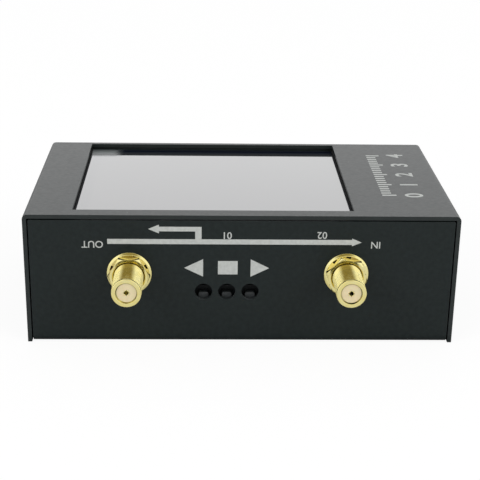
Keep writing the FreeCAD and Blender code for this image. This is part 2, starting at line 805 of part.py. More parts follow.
# ---- the coaxial connectors ----
def make_connector(x):
    """Threaded barrel with a square flange behind the panel and four legs that grip the board."""
    tip_y = -half_depth - barrel_reach
    length = barrel_reach + sheet
    barrel = rod(Vector(x, tip_y, connector_height), BACK, thread_radius, length)
    rim = [edge for edge in barrel.Edges if isinstance(edge.Curve, Part.Circle)
           and abs(edge.CenterOfMass.y - tip_y) < 1e-6]
    barrel = barrel.makeChamfer(barrel_tip_chamfer, rim)
    groove_y = -half_depth - washer_thickness - nut_thickness - barrel_groove_reach - barrel_groove_width
    groove_start = Vector(x, groove_y, connector_height)
    groove = rod(groove_start, BACK, thread_radius + overcut, barrel_groove_width)
    groove = groove.cut(rod(groove_start, BACK, thread_radius - barrel_groove_depth, barrel_groove_width))
    barrel = barrel.cut(groove)
    flange_y = (panel_back_of_front, panel_back_of_front + connector_block_depth)
    flange = block(around(x, connector_block), flange_y, around(connector_height, connector_block))
    body = barrel.fuse(flange)
    leg_y = (flange_y[1], flange_y[1] + leg_length)
    low = connector_height - connector_block / 2
    for side in (-1, 1):
        edge = x + side * connector_block / 2
        leg_x = sorted((edge, edge - side * leg_width))
        body = body.fuse(block(leg_x, leg_y, (board_top, board_top + leg_height)))
        body = body.fuse(block(leg_x, leg_y, (low, board_bottom)))
    front = Vector(x, tip_y - overcut, connector_height)
    bore = rod(front, BACK, barrel_bore_radius, length + connector_block_depth + 2 * overcut)
    mouth = rod(front, BACK, mouth_radius, insulator_recess + overcut)
    return body.cut(bore).cut(mouth).removeSplitter()


def insulator_front():
    return -half_depth - barrel_reach + insulator_recess


def make_insulator(x):
    length = board_front - insulator_front()
    start = Vector(x, insulator_front(), connector_height)
    body = rod(start, BACK, insulator_radius, length)
    return body.cut(rod(start, BACK, contact_radius + slip_gap, length))


def make_contact(x):
    """Slit centre socket, with a thinner tail that lies on the board."""
    start = Vector(x, insulator_front(), connector_height)
    length = board_front - insulator_front()
    body = rod(start, BACK, contact_radius, length)
    body = body.fuse(rod(Vector(x, board_front, connector_height), BACK, tail_radius, tail_length))
    body = body.cut(rod(start, BACK, contact_bore_radius, contact_bore_depth))
    slit_y = (start.y - overcut, start.y + contact_slit_depth)
    across = 2 * contact_radius + overcut
    body = body.cut(block(around(x, across), slit_y, around(connector_height, contact_slit_width)))
    return body.cut(block(around(x, contact_slit_width), slit_y, around(connector_height, across)))


def make_washer(x, turn):
    """Internal-tooth lock washer against the panel, its front sloping off to its edge."""
    edge_thickness = washer_thickness - washer_slope_depth
    slope = Part.makeCone(washer_radius, washer_radius - washer_slope_width, washer_slope_depth,
                          Vector(0, 0, edge_thickness))
    ring = rod(Vector(0, 0, 0), UP, washer_radius, edge_thickness).fuse(slope)
    ring = ring.cut(rod(Vector(0, 0, 0), UP, washer_hole_radius, washer_thickness))
    for index in range(washer_slits):
        slit = block((0, washer_slit_radius), around(0, washer_slit_width), (0, washer_thickness))
        slit.rotate(Vector(0, 0, 0), UP, turn + 360 * index / washer_slits)
        ring = ring.cut(slit)
    return stand(ring, Vector(x, -half_depth, connector_height), FRONT)


def make_nut(x, turn):
    """Hexagonal nut with turned faces, clamped on the lock washer."""
    corner_radius = nut_across_flats / math.sqrt(3)
    turned = rod(Vector(0, 0, 0), UP, corner_radius, nut_thickness)
    rims = [edge for edge in turned.Edges if isinstance(edge.Curve, Part.Circle)]
    turned = turned.makeChamfer(nut_chamfer, rims)
    nut = hexagon(nut_across_flats, nut_thickness, turn).common(turned)
    nut = nut.cut(rod(Vector(0, 0, 0), UP, nut_bore_radius, nut_thickness))
    mouth = Part.makeCone(nut_bore_radius, nut_bore_radius + nut_mouth, nut_mouth,
                          Vector(0, 0, nut_thickness - nut_mouth))
    nut = nut.cut(mouth)
    return stand(nut, Vector(x, -half_depth - washer_thickness, connector_height), FRONT)


# ---- the rear panel's switch and socket ----
def slide_pocket_x():
    """The space along X that the carriage needs for its whole travel."""
    low = slide_offset - carriage_width / 2 - knob_gap
    return (low, low + pocket_width)


def make_slide_switch_frame():
    """Folded steel frame with the slot that the knob passes through."""
    back = slide_back_y
    middle = slide_offset + knob_travel / 2
    outside = block(around(middle, slide_width), (back - slide_depth, back),
                    (board_top, board_top + slide_height))
    inside = block(around(middle, slide_width - 2 * slide_frame_sheet),
                   (back - slide_depth - overcut, back - slide_frame_sheet),
                   (board_top - overcut, board_top + slide_height - slide_frame_sheet))
    slot_length = knob_width + knob_travel + 2 * knob_gap
    slot = block(around(middle, slot_length), (back - overcut, back + overcut),
                 around(slide_z, knob_height + 2 * knob_gap))
    return outside.cut(inside).cut(slot)


def make_slide_switch_base():
    """Moulded base inside the frame, with the pocket that the carriage slides in."""
    back = slide_back_y - slide_frame_sheet - slip_gap
    middle = slide_offset + knob_travel / 2
    width = slide_width - 2 * (slide_frame_sheet + slip_gap)
    top = board_top + slide_height - slide_frame_sheet - slip_gap
    body = block(around(middle, width), (slide_back_y - slide_depth, back), (board_top, top))
    pocket = block(slide_pocket_x(), (back - carriage_depth - knob_gap, back + overcut),
                   around(slide_z, carriage_height + 2 * knob_gap))
    return body.cut(pocket)


def make_power_slider():
    """Carriage inside the switch, with the knob that passes through the rear panel."""
    back = slide_back_y - slide_frame_sheet - knob_gap
    carriage = block(around(slide_offset, carriage_width), (back - carriage_depth + knob_gap, back),
                     around(slide_z, carriage_height))
    knob = block(around(slide_offset, knob_width), (back - carriage_depth / 2, half_depth + knob_reach),
                 around(slide_z, knob_height))
    end_edges = [edge for edge in knob.Edges if abs(edge.CenterOfMass.y - half_depth - knob_reach) < 1e-6]
    return knob.makeChamfer(knob_edge, end_edges).fuse(carriage).removeSplitter()


def make_usb_shell():
    y = (usb_mouth_y - usb_length, usb_mouth_y)
    outside = obround(usb_offset, usb_z, usb_width, usb_height, y)
    inside = obround(usb_offset, usb_z, usb_width - 2 * usb_wall, usb_height - 2 * usb_wall,
                     (y[0] - overcut, y[1] + overcut))
    return outside.cut(inside)


def make_usb_tongue():
    """Moulded block that closes the shell's inner end, with the contact tongue."""
    inner_end = usb_mouth_y - usb_length
    block_end = inner_end + usb_block_length
    smaller = 2 * (usb_wall + slip_gap)
    plug = obround(usb_offset, usb_z, usb_width - smaller, usb_height - smaller, (inner_end, block_end))
    tongue_width = usb_width - 2 * (usb_wall + usb_tongue_side_gap)
    tongue = block(around(usb_offset, tongue_width), (inner_end, block_end + usb_tongue_length),
                   around(usb_z, usb_tongue_thickness))
    return plug.fuse(tongue).removeSplitter()


# ---- the battery ----
def battery_span():
    """The pouch's (low, high) along X."""
    return (-half_width + battery_left_margin, half_width - battery_right_margin)


def battery_low():
    return sheet + battery_tape_thickness


def battery_width():
    return case_depth - 2 * battery_panel_margin


def make_battery():
    x = battery_span()
    pouch = block(x, around(0, battery_width()), (battery_low(), battery_low() + battery_thickness))
    return pouch.makeFillet(battery_edge, edges_along(pouch, BACK) + edges_along(pouch, UP))


def make_battery_tape():
    x = battery_span()
    return block((x[0] + battery_tape_inset, x[1] - battery_tape_inset),
                 around(0, battery_width() - 2 * battery_tape_inset), (sheet, battery_low()))


def battery_board_x():
    right = battery_span()[1]
    return (right, right + battery_board_thickness)


def make_battery_board():
    low = battery_low() + battery_board_rise
    return block(battery_board_x(), around(0, battery_board_width), (low, low + battery_board_height))


def wire_points():
    """The wires' route in the XZ plane: out of the battery, up, and into the plug."""
    start = battery_board_x()[1]
    low = battery_low() + battery_board_rise + battery_board_height / 2
    high = board_bottom - header_wall - plug_gap - plug_height / 2
    return [(start, low),
            (start + wire_run_out, low),
            (start + wire_run_out + wire_run_over, high),
            (start + wire_run_out + wire_run_over + wire_run_in, high)]


def make_wire(y):
    """One lead as straight runs joined by tangent arcs."""
    points = [Vector(x, y, z) for x, z in wire_points()]
    edges = []
    here = points[0]
    length = 0.0
    for index in range(1, len(points) - 1):
        before = points[index - 1].sub(points[index])
        after = points[index + 1].sub(points[index])
        shorter = min(before.Length, after.Length)
        turn = math.pi - before.getAngle(after)
        radius = 0.45 * shorter / math.tan(turn / 2)
        back_off = 0.45 * shorter
        before.normalize()
        after.normalize()
        start = points[index].add(before.multiply(back_off))
        end = points[index].add(after.multiply(back_off))
        bisector = start.add(end).multiply(0.5).sub(points[index])
        to_centre = radius / math.cos(turn / 2)
        centre = points[index].add(bisector.normalize().multiply(to_centre))
        outward = points[index].sub(centre).normalize()
        middle = centre.add(outward.multiply(radius))
        edges.append(Part.LineSegment(here, start).toShape())
        edges.append(Part.Arc(start, middle, end).toShape())
        length += start.sub(here).Length + radius * turn
        here = end
        print("wire bend radius", round(radius, 2))
    edges.append(Part.LineSegment(here, points[-1]).toShape())
    length += points[-1].sub(here).Length
    section = Part.Wire(Part.makeCircle(wire_radius, points[0], RIGHT))
    wire = Part.Wire(edges).makePipeShell([section], True, False)
    print("wire volume", round(wire.Volume, 3), "expected", round(math.pi * wire_radius ** 2 * length, 3))
    return wire


def plug_span():
    """The plug's (low, high) along X; the wires enter its left end."""
    left = wire_points()[-1][0] - plug_wire_depth
    return (left, left + plug_length)


def plug_z():
    return wire_points()[-1][1]


def make_battery_plug():
    plug = block(plug_span(), around(0, plug_width), around(plug_z(), plug_height))
    for y in (-wire_spread, wire_spread):
        start = Vector(plug_span()[0] - overcut, y, plug_z())
        plug = plug.cut(rod(start, RIGHT, wire_radius + slip_gap, plug_wire_depth + overcut))
    return plug


def make_battery_header():
    """Side-entry header under the main board; the plug goes in from the left."""
    mouth = plug_span()[1] - plug_entry
    grow = 2 * (plug_gap + header_wall)
    outside = block((mouth, mouth + header_length), around(0, plug_width + grow),
                    around(plug_z(), plug_height + grow))
    inside = block((mouth - overcut, plug_span()[1] + plug_end_gap), around(0, plug_width + 2 * plug_gap),
                   around(plug_z(), plug_height + 2 * plug_gap))
    return outside.cut(inside)


os.makedirs("parts", exist_ok=True)

save("cover", make_cover())
save("base", make_base())
save("cover_screws", *[make_cover_screw(*place) for place in cover_screw_places()])
save("lip_nuts", *[make_lip_nut(*place) for place in cover_screw_places()])
save("base_screws", *[make_base_screw(x, y) for x, y in standoff_places])
save("lower_standoffs", *[make_lower_standoff(x, y) for x, y in standoff_places])
save("upper_spacers", *[make_upper_spacer(x, y) for x, y in standoff_places])
save("display_screws", *[make_display_screw(x, y) for x, y in standoff_places])

save("touch_glass", make_touch_glass())
save("window_tape", *make_window_tape())
save("lcd_cell", make_lcd_cell())
save("lcd_frame", make_lcd_frame())
save("display_tape", *make_display_tape())
save("display_board", make_display_board())
save("display_ribbon", make_display_ribbon())
save("ribbon_connector", make_ribbon_connector())
save("display_header", make_display_header())
save("display_socket", make_display_socket())
save("display_pins", *make_display_pins())

save("main_board", make_main_board())
save("processor_chip", make_processor_chip())
save("processor_legs", *make_processor_legs())
save("synthesizer_chips", *make_synthesizer_chips())
save("crystal", make_crystal())
save("power_inductor", make_power_inductor())
save("board_capacitors", *make_board_capacitors())

for side, button_x in button_places.items():
    save(side + "_switch_body", make_switch_body(button_x))
    save(side + "_button", make_button(button_x))
save("switch_domes", *[make_switch_dome(x) for x in button_places.values()])

for side, connector_x, washer_turn, nut_turn in (
        ("left", left_connector_x, left_washer_turn, left_nut_turn),
        ("right", right_connector_x, right_washer_turn, right_nut_turn)):
    save(side + "_shield", make_shield(connector_x))
    save(side + "_connector", make_connector(connector_x))
    save(side + "_insulator", make_insulator(connector_x))
    save(side + "_contact", make_contact(connector_x))
    save(side + "_washer", make_washer(connector_x, washer_turn))
    save(side + "_nut", make_nut(connector_x, nut_turn))

save("slide_switch_frame", make_slide_switch_frame())
save("slide_switch_base", make_slide_switch_base())
save("power_slider", make_power_slider())
save("usb_shell", make_usb_shell())
save("usb_tongue", make_usb_tongue())

save("battery", make_battery())
save("battery_tape", make_battery_tape())
save("battery_board", make_battery_board())
save("red_wire", make_wire(-wire_spread))
save("black_wire", make_wire(wire_spread))
save("battery_plug", make_battery_plug())
save("battery_header", make_battery_header())
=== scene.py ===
import math
import bmesh
import bpy
from mathutils import Matrix, Vector


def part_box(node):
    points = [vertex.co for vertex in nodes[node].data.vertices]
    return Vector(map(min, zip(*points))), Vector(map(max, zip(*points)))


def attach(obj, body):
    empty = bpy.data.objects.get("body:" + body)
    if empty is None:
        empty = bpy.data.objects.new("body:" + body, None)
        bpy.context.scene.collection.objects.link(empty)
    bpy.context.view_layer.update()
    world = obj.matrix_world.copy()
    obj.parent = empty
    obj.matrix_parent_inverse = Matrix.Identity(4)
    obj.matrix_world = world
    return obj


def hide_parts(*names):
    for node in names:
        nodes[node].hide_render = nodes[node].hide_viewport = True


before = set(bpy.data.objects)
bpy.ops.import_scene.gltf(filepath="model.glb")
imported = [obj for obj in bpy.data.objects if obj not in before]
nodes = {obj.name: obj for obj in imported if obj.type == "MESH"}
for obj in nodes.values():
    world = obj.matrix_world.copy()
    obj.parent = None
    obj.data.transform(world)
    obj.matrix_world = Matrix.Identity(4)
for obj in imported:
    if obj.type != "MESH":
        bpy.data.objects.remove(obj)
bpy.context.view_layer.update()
mm = 0.001

# ---- camera ----
# A long lens a quarter of a metre in front of the connector panel, looking down on the case
# at about twenty degrees and very slightly tilted to its left.
camera_place = Vector((-8.3043, -266.354, 116.829)) * mm
camera_yaw, camera_pitch, camera_roll = (math.radians(turn) for turn in (1.8604, 21.1315, -0.9425))
camera_lens = 89.61
camera_sensor = 36.0
nearest_seen, farthest_seen = 10 * mm, 20

ahead = Vector((math.sin(camera_yaw) * math.cos(camera_pitch),
                math.cos(camera_yaw) * math.cos(camera_pitch), -math.sin(camera_pitch)))
level = Vector((math.cos(camera_yaw), -math.sin(camera_yaw), 0))
below = ahead.cross(level)
camera_right = math.cos(camera_roll) * level + math.sin(camera_roll) * below
camera_down = math.cos(camera_roll) * below - math.sin(camera_roll) * level
camera_data = bpy.data.cameras.new("camera")
camera_data.lens = camera_lens
camera_data.sensor_width = camera_sensor
camera_data.clip_start = nearest_seen
camera_data.clip_end = farthest_seen
camera = bpy.data.objects.new("camera", camera_data)
camera_axes = Matrix((camera_right, -camera_down, -ahead)).transposed().to_4x4()
camera.matrix_world = Matrix.Translation(camera_place) @ camera_axes
bpy.context.scene.collection.objects.link(camera)
bpy.context.scene.camera = camera

# ---- floor and light ----
# A plain pale table top in a plain white room, with two soft boxes in front of the object and a
# large one behind it. What looks straight at the room sees white. A gloss mirrors the white too,
# but for the part of the room over the front of the table, where the walls are unlit, and for the
# table just in front of the case, which carries a painted shade there.
floor_side = 6.0
floor_sink = 0.02 * mm
floor_glow = 0.9                  # of the table, seen directly
floor_seen_colour = (0.13, 0.13, 0.13, 1)
floor_mirrored_colour = (0.88, 0.88, 0.88, 1)
floor_painted_shade_colour = (0.44, 0.44, 0.44, 1)     # painted shade on the table beside the case, seen only in a gloss
floor_painted_shade_span = (-30.5 * mm, -27.4 * mm)         # where that painted shade begins and where it is whole
floor_colour = (0.72, 0.72, 0.72, 1)
room_white = (1, 1, 1, 1)
room_light = (0.5, 0.5, 0.5, 1)   # of the room on matt surfaces
unlit_way = (0.0, -0.766, 0.643)  # towards the middle of the unlit part
unlit_brown = (0.25, 0.205, 0.085, 1)
unlit_core, unlit_edge = 0.96, 0.83           # cosines of the turn away from that middle
soft_boxes = (
    # name, place in metres, side in metres, watts
    ("left_box", (-0.95, -0.8, 0.65), 0.8, 5.6),
    ("right_box", (0.95, -0.8, 0.65), 0.8, 6.4),
    ("rear_box", (0.1, 1.2, 0.75), 1.4, 2.1),
)


def add_node(tree, kind, inputs=(), **settings):
    """A shader node. Each input is given as a plain value or as another node's output."""
    node = tree.nodes.new("ShaderNode" + kind)
    for label, value in settings.items():
        setattr(node, label, value)
    for label, value in dict(inputs).items():
        if isinstance(value, bpy.types.NodeSocket):
            tree.links.new(value, node.inputs[label])
        else:
            node.inputs[label].default_value = value
    return node


def ramp(tree, value, low, high, at_low=0.0, at_high=1.0):
    """A value that goes from at_low to at_high as another goes from low to high."""
    return add_node(tree, "MapRange", {"Value": value, "From Min": low, "From Max": high,
                                       "To Min": at_low, "To Max": at_high}).outputs[0]


def blended(tree, share, first, second):
    """The first colour where the share is 0, and the second where it is 1."""
    # a Mix node takes its two colours in sockets 6 and 7, and puts the blend out in socket 2
    return add_node(tree, "Mix", {0: share, 6: first, 7: second}, data_type="RGBA").outputs[2]


def times(tree, first, second):
    """The product of two values."""
    return add_node(tree, "Math", {0: first, 1: second}, operation="MULTIPLY").outputs[0]


def seen_directly(tree):
    """1 for a ray from the camera or through glass, and 0 for any other."""
    path = add_node(tree, "LightPath").outputs
    return add_node(tree, "Math", {0: path["Is Camera Ray"], 1: path["Is Transmission Ray"]},
                    operation="MAXIMUM").outputs[0]


def mirrored(tree):
    """1 for a ray from a gloss, and 0 for any other."""
    return add_node(tree, "LightPath").outputs["Is Glossy Ray"]


room = bpy.data.worlds.new("white_room")
bpy.context.scene.world = room
room.use_nodes = True
room_tree = room.node_tree
room_way = add_node(room_tree, "TexCoord").outputs["Generated"]
room_turn = add_node(room_tree, "VectorMath", {0: room_way, 1: unlit_way}, operation="DOT_PRODUCT")
room_unlit = ramp(room_tree, room_turn.outputs["Value"], unlit_edge, unlit_core)
room_gloss = blended(room_tree, room_unlit, room_white, unlit_brown)
room_tint = blended(room_tree, mirrored(room_tree), room_light, room_gloss)
room_tint = blended(room_tree, seen_directly(room_tree), room_tint, room_white)
room_tree.links.new(room_tint, room_tree.nodes["Background"].inputs["Color"])

floor_finish = bpy.data.materials.new("pale_table")
floor_finish.use_nodes = True
floor_tree = floor_finish.node_tree
floor_tree.nodes.clear()
floor_seen = seen_directly(floor_tree)
floor_here = add_node(floor_tree, "TexCoord").outputs["Object"]
floor_axes = add_node(floor_tree, "SeparateXYZ", {0: floor_here}).outputs
# the table seen in a gloss darkens towards the case's front: painted shade
floor_painted_shade = ramp(floor_tree, floor_axes["Y"], *floor_painted_shade_span)
floor_mirror = blended(floor_tree, floor_painted_shade, floor_mirrored_colour, floor_painted_shade_colour)
floor_tint = blended(floor_tree, mirrored(floor_tree), floor_colour, floor_mirror)
floor_tint = blended(floor_tree, floor_seen, floor_tint, floor_seen_colour)
floor_paint = add_node(floor_tree, "BsdfDiffuse", {"Color": floor_tint})
floor_shine = add_node(floor_tree, "Emission", {"Strength": times(floor_tree, floor_seen, floor_glow)})
floor_sum = add_node(floor_tree, "AddShader", {0: floor_paint.outputs[0], 1: floor_shine.outputs[0]})
floor_out = add_node(floor_tree, "OutputMaterial")
floor_tree.links.new(floor_sum.outputs[0], floor_out.inputs["Surface"])

floor_mesh = bpy.data.meshes.new("floor")
floor_build = bmesh.new()
bmesh.ops.create_grid(floor_build, x_segments=1, y_segments=1, size=floor_side / 2,
                      matrix=Matrix.Translation((0, 0, -floor_sink)))
floor_build.to_mesh(floor_mesh)
floor_build.free()
floor_mesh.materials.append(floor_finish)
floor = bpy.data.objects.new("floor", floor_mesh)
bpy.context.scene.collection.objects.link(floor)

bpy.context.scene.view_settings.view_transform = "Standard"
for box_name, box_place, box_side, box_watts in soft_boxes:
    box_light = bpy.data.lights.new(box_name, "AREA")
    box_light.shape = "SQUARE"
    box_light.size = box_side
    box_light.energy = box_watts
    box = bpy.data.objects.new(box_name, box_light)
    box_turn = Vector(box_place).to_track_quat("Z", "Y")
    box.matrix_world = Matrix.LocRotScale(Vector(box_place), box_turn, None)
    box.visible_glossy = box_name == "rear_box"
    bpy.context.scene.collection.objects.link(box)

# ---- base ----
# One piece of 0.9 mm aluminium sheet, folded up into the connector panel, the rear panel and two
# side lips. It is bead blasted and anodised black, with a satin grain; its paler edges are partly
# wear and partly a painted highlight.
sheet_edge = 0.09                 # the rounding of the sheet's edges after blasting
flat_tolerance = math.radians(0.5)
sharp_turn = math.radians(32)
merge_reach = 0.0005
anodised_colour = (0.0073, 0.0118, 0.0118, 1)
anodised_light = (0.0112, 0.0170, 0.0168, 1)
anodised_worn = (0.055, 0.058, 0.060, 1)
pale_wear_and_highlight = (0.11, 0.115, 0.12, 1)         # paler edges and hole walls: partly wear, partly a painted highlight where they catch the light
panel_face, behind_panel = -27.0, -26.0
button_holes = ((-8.32, 12.15), (-3.24, 12.15), (1.84, 12.15))      # x and z
button_hole_radius = 1.9
# the marked colour's share: wear along edges, and on some pieces painted shade, painted reflection and a
# painted highlight
full_mark, no_mark = 1.0, 0.0
looks_along, looks_across = 0.99, 0.1         # of a normal, on an axis that its face looks along or across


def cad_copy(node):
    """A node's shape in millimetres, its loose triangles merged and its flats made whole."""
    bare = nodes[node].data.copy()
    for stored in ("custom_normal", "sharp_edge"):
        if stored in bare.attributes:
            bare.attributes.remove(bare.attributes[stored])
    bm = bmesh.new()
    bm.from_mesh(bare)
    bpy.data.meshes.remove(bare)
    bmesh.ops.scale(bm, vec=(1 / mm, 1 / mm, 1 / mm), verts=bm.verts)
    bmesh.ops.remove_doubles(bm, verts=bm.verts, dist=merge_reach)
    bmesh.ops.dissolve_limit(bm, angle_limit=flat_tolerance, verts=bm.verts, edges=bm.edges)
    return bm


def soften(bm, width, segments=2, turn=sharp_turn):
    """Rounds the sharp edges, and marks the new faces for the marked colour along them."""
    marked = bm.faces.layers.float.new("edge")
    sharp = [e for e in bm.edges if e.is_manifold and e.calc_face_angle(0) > turn]
    made = bmesh.ops.bevel(bm, geom=sharp, offset=width, offset_type="OFFSET", affect="EDGES",
                           segments=segments, profile=0.5, material=-1, clamp_overlap=True)
    for face in made["faces"]:
        face[marked] = full_mark


def rub(bm, share, reached):
    """Marks other faces for the marked colour, chosen by their direction and their middle; it is wear on
    some pieces, and painted shade and painted reflection on others.
    """
    marked = bm.faces.layers.float.get("edge") or bm.faces.layers.float.new("edge")
    for face in bm.faces:
        if reached(face.normal, face.calc_center_median()):
            face[marked] = share


def finished(name, bm, material, body, stands_for=(), crease=None):
    """Makes the piece from a shape in millimetres, hangs it on its body, and hides the nodes it replaces."""
    bmesh.ops.scale(bm, vec=(mm, mm, mm), verts=bm.verts)
    mesh = bpy.data.meshes.new(name)
    bm.to_mesh(mesh)
    bm.free()
    mesh.shade_smooth()
    if crease:
        mesh.set_sharp_from_angle(angle=crease)
    mesh.materials.append(material)
    piece = bpy.data.objects.new(name, mesh)
    bpy.context.scene.collection.objects.link(piece)
    if not crease:
        weights = piece.modifiers.new("weights", "WEIGHTED_NORMAL")
        weights.mode = "FACE_AREA"
        weights.keep_sharp = False
    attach(piece, body)
    if stands_for:
        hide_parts(*stands_for)


def new_group(name, inputs, outputs):
    """An empty node group with named sockets, its input node and its output node."""
    group = bpy.data.node_groups.new(name, "ShaderNodeTree")
    for label, kind, value in inputs:
        made = group.interface.new_socket(label, in_out="INPUT", socket_type="NodeSocket" + kind)
        made.default_value = value
    for label, kind in outputs:
        group.interface.new_socket(label, in_out="OUTPUT", socket_type="NodeSocket" + kind)
    return group, group.nodes.new("NodeGroupInput").outputs, group.nodes.new("NodeGroupOutput").inputs


def noise(tree, place, scale, detail):
    """A cloudy value from 0 to 1."""
    return add_node(tree, "TexNoise", {"Vector": place, "Scale": scale, "Detail": detail}).outputs["Fac"]


def between(tree, share, first, second):
    """The first value where the share is 0, and the second where it is 1."""
    # a Mix node takes its two values in sockets 2 and 3
    return add_node(tree, "Mix", {0: share, 2: first, 3: second}).outputs[0]


# Grain: one colour clouded with another, with its roughness and a fine height.
unset_place, unset_colour = (0, 0, 0), (0, 0, 0, 1)
grain_group, grain_in, grain_out = new_group("grain", (
    ("Vector", "Vector", unset_place), ("Colour", "Color", unset_colour),
    ("Second Colour", "Color", unset_colour), ("Smoothest", "Float", 0.3), ("Roughest", "Float", 0.4)),
    (("Colour", "Color"), ("Roughness", "Float"), ("Height", "Float")))
grain_coarse = noise(grain_group, grain_in["Vector"], scale=0.35, detail=5.0)
grain_fine = noise(grain_group, grain_in["Vector"], scale=1.0, detail=2.0)
grain_share = ramp(grain_group, grain_coarse, low=0.33, high=0.67)
grain_mix = blended(grain_group, grain_share, grain_in["Colour"], grain_in["Second Colour"])
grain_rough = ramp(grain_group, grain_fine, low=0.3, high=0.7, at_low=grain_in["Smoothest"],
                   at_high=grain_in["Roughest"])
grain_group.links.new(grain_mix, grain_out["Colour"])
grain_group.links.new(grain_rough, grain_out["Roughness"])
grain_group.links.new(grain_fine, grain_out["Height"])

# Edge wear and painted light: shows the marked colour on the marked faces, broken up where hands have not
# rubbed.
# On the connectors, the nuts and the base it also lays painted shade, painted reflection and a painted
# highlight.
mark_group, mark_in, mark_out = new_group("edge_wear_and_painted_light", (
    ("Vector", "Vector", unset_place), ("Colour", "Color", unset_colour),
    ("Marked Colour", "Color", unset_colour), ("Amount", "Float", 0.6)), (("Colour", "Color"),))
mark_edge = add_node(mark_group, "Attribute", attribute_name="edge", attribute_type="GEOMETRY")
mark_cloud = noise(mark_group, mark_in["Vector"], scale=0.08, detail=3.0)
mark_patch = ramp(mark_group, mark_cloud, low=0.4, high=0.62, at_low=0.25)
mark_mask = times(mark_group, times(mark_group, mark_edge.outputs["Fac"], mark_patch), mark_in["Amount"])
mark_mix = blended(mark_group, mark_mask, mark_in["Colour"], mark_in["Marked Colour"])
mark_group.links.new(mark_mix, mark_out["Colour"])

# Dust: a few pale specks on what faces up.
dust_group, dust_in, dust_out = new_group("dust", (
    ("Vector", "Vector", unset_place), ("Colour", "Color", unset_colour), ("Roughness", "Float", 0.5),
    ("Dust Colour", "Color", (0.3, 0.3, 0.29, 1)), ("Amount", "Float", 0.3)),
    (("Colour", "Color"), ("Roughness", "Float")))
dust_roughness = 0.9
speck_from = 0.62                 # a cell whose own shade is over this holds a speck
speck_rim, speck_core = 0.07, 0.04            # their distances from the middle of a cell
dust_cells = add_node(dust_group, "TexVoronoi", {"Vector": dust_in["Vector"], "Scale": 0.4}).outputs
dust_dot = ramp(dust_group, dust_cells["Distance"], speck_rim, speck_core)
dust_few = add_node(dust_group, "Math", {0: dust_cells["Color"], 1: speck_from},
                    operation="GREATER_THAN").outputs[0]
dust_normal = add_node(dust_group, "NewGeometry").outputs["Normal"]
dust_axes = add_node(dust_group, "SeparateXYZ", {0: dust_normal}).outputs
dust_up = ramp(dust_group, dust_axes["Z"], low=0.6, high=1.0)
dust_mask = times(dust_group, times(dust_group, dust_dot, dust_few), dust_up)
dust_mask = times(dust_group, dust_mask, dust_in["Amount"])
dust_mix = blended(dust_group, dust_mask, dust_in["Colour"], dust_in["Dust Colour"])
dust_rough = between(dust_group, dust_mask, dust_in["Roughness"], dust_roughness)
dust_group.links.new(dust_mix, dust_out["Colour"])
dust_group.links.new(dust_rough, dust_out["Roughness"])


def counted(tree, step=1.0, stretch=(1, 1, 1), start=(0, 0, 0)):
    """The object's own coordinates, counted in steps of so many millimetres."""
    here = add_node(tree, "TexCoord").outputs["Object"]
    per_metre = [1 / (step * mm * part) for part in stretch]
    offset = [-place for place in start]
    return add_node(tree, "Mapping", {"Vector": here, "Scale": per_metre, "Location": offset}).outputs[0]


def finish_of(name, colours, grain, roughness, bump=0.0, stretch=(1, 1, 1), marked=None, marking=0.0, dust=0.0,
              **shader):
    """A material whose two colours and two roughnesses change over a grain of so many millimetres."""
    material = bpy.data.materials.new(name)
    material.use_nodes = True
    tree = material.node_tree
    bsdf = tree.nodes["Principled BSDF"]
    for label, value in shader.items():
        bsdf.inputs[label.replace("_", " ")].default_value = value
    scaled = counted(tree, grain, stretch)
    grained = add_node(tree, "Group", {"Vector": scaled, "Colour": colours[0], "Second Colour": colours[1],
                                       "Smoothest": roughness[0], "Roughest": roughness[1]},
                       node_tree=grain_group).outputs
    colour, rough = grained["Colour"], grained["Roughness"]
    if marking:
        colour = add_node(tree, "Group", {"Vector": scaled, "Colour": colour, "Marked Colour": marked,
                                          "Amount": marking}, node_tree=mark_group).outputs["Colour"]
    if dust:
        dusty = add_node(tree, "Group", {"Vector": counted(tree), "Colour": colour, "Roughness": rough,
                                         "Amount": dust}, node_tree=dust_group).outputs
        colour, rough = dusty["Colour"], dusty["Roughness"]
    tree.links.new(colour, bsdf.inputs["Base Color"])
    tree.links.new(rough, bsdf.inputs["Roughness"])
    if bump:
        raised = add_node(tree, "Bump", {"Height": grained["Height"], "Distance": bump * mm})
        tree.links.new(raised.outputs[0], bsdf.inputs["Normal"])
    return material


def at_button_hole(middle):
    """True in the wall or the rounded rim of a button's hole."""
    reach = button_hole_radius + 2 * sheet_edge
    near = any(math.hypot(middle.x - x, middle.z - z) < reach for x, z in button_holes)
    return near and middle.y < behind_panel


anodised = finish_of("black_anodised_sheet", colours=(anodised_colour, anodised_light), grain=0.35,
                     roughness=(0.34, 0.44), bump=0.006, marked=pale_wear_and_highlight, marking=0.6, dust=0.5,
                     Specular_IOR_Level=0.25)
base = cad_copy("base")
soften(base, sheet_edge)
# the rims of the button holes keep the sheet's colour, and their walls take the paler colour, partly wear
# and partly a painted highlight
rub(base, no_mark, lambda way, middle: abs(way.y) < looks_along and at_button_hole(middle))
rub(base, full_mark, lambda way, middle: abs(way.y) < looks_across and at_button_hole(middle))
finished("base_sheet", base, anodised, "case", ("base",))

# ---- cover ----
# The same sheet, folded down at the left and right, with the screen's window punched out of its
# top. The blasting runs across the case, so its satin has a faint lengthwise direction.


def rounded(node, name, edge, material, body="case", segments=2):
    """Replaces a node by its own shape with its sharp edges rounded."""
    shape = cad_copy(node)
    soften(shape, edge, segments)
    finished(name, shape, material, body, (node,))


cover_finish = finish_of("black_anodised_cover", colours=(anodised_colour, anodised_light), grain=0.3,
                         roughness=(0.33, 0.42), bump=0.004, stretch=(3, 1, 1), marked=anodised_worn, marking=0.8,
                         dust=0.6, Specular_IOR_Level=0.445)
rounded("cover", "cover_sheet", sheet_edge, cover_finish)

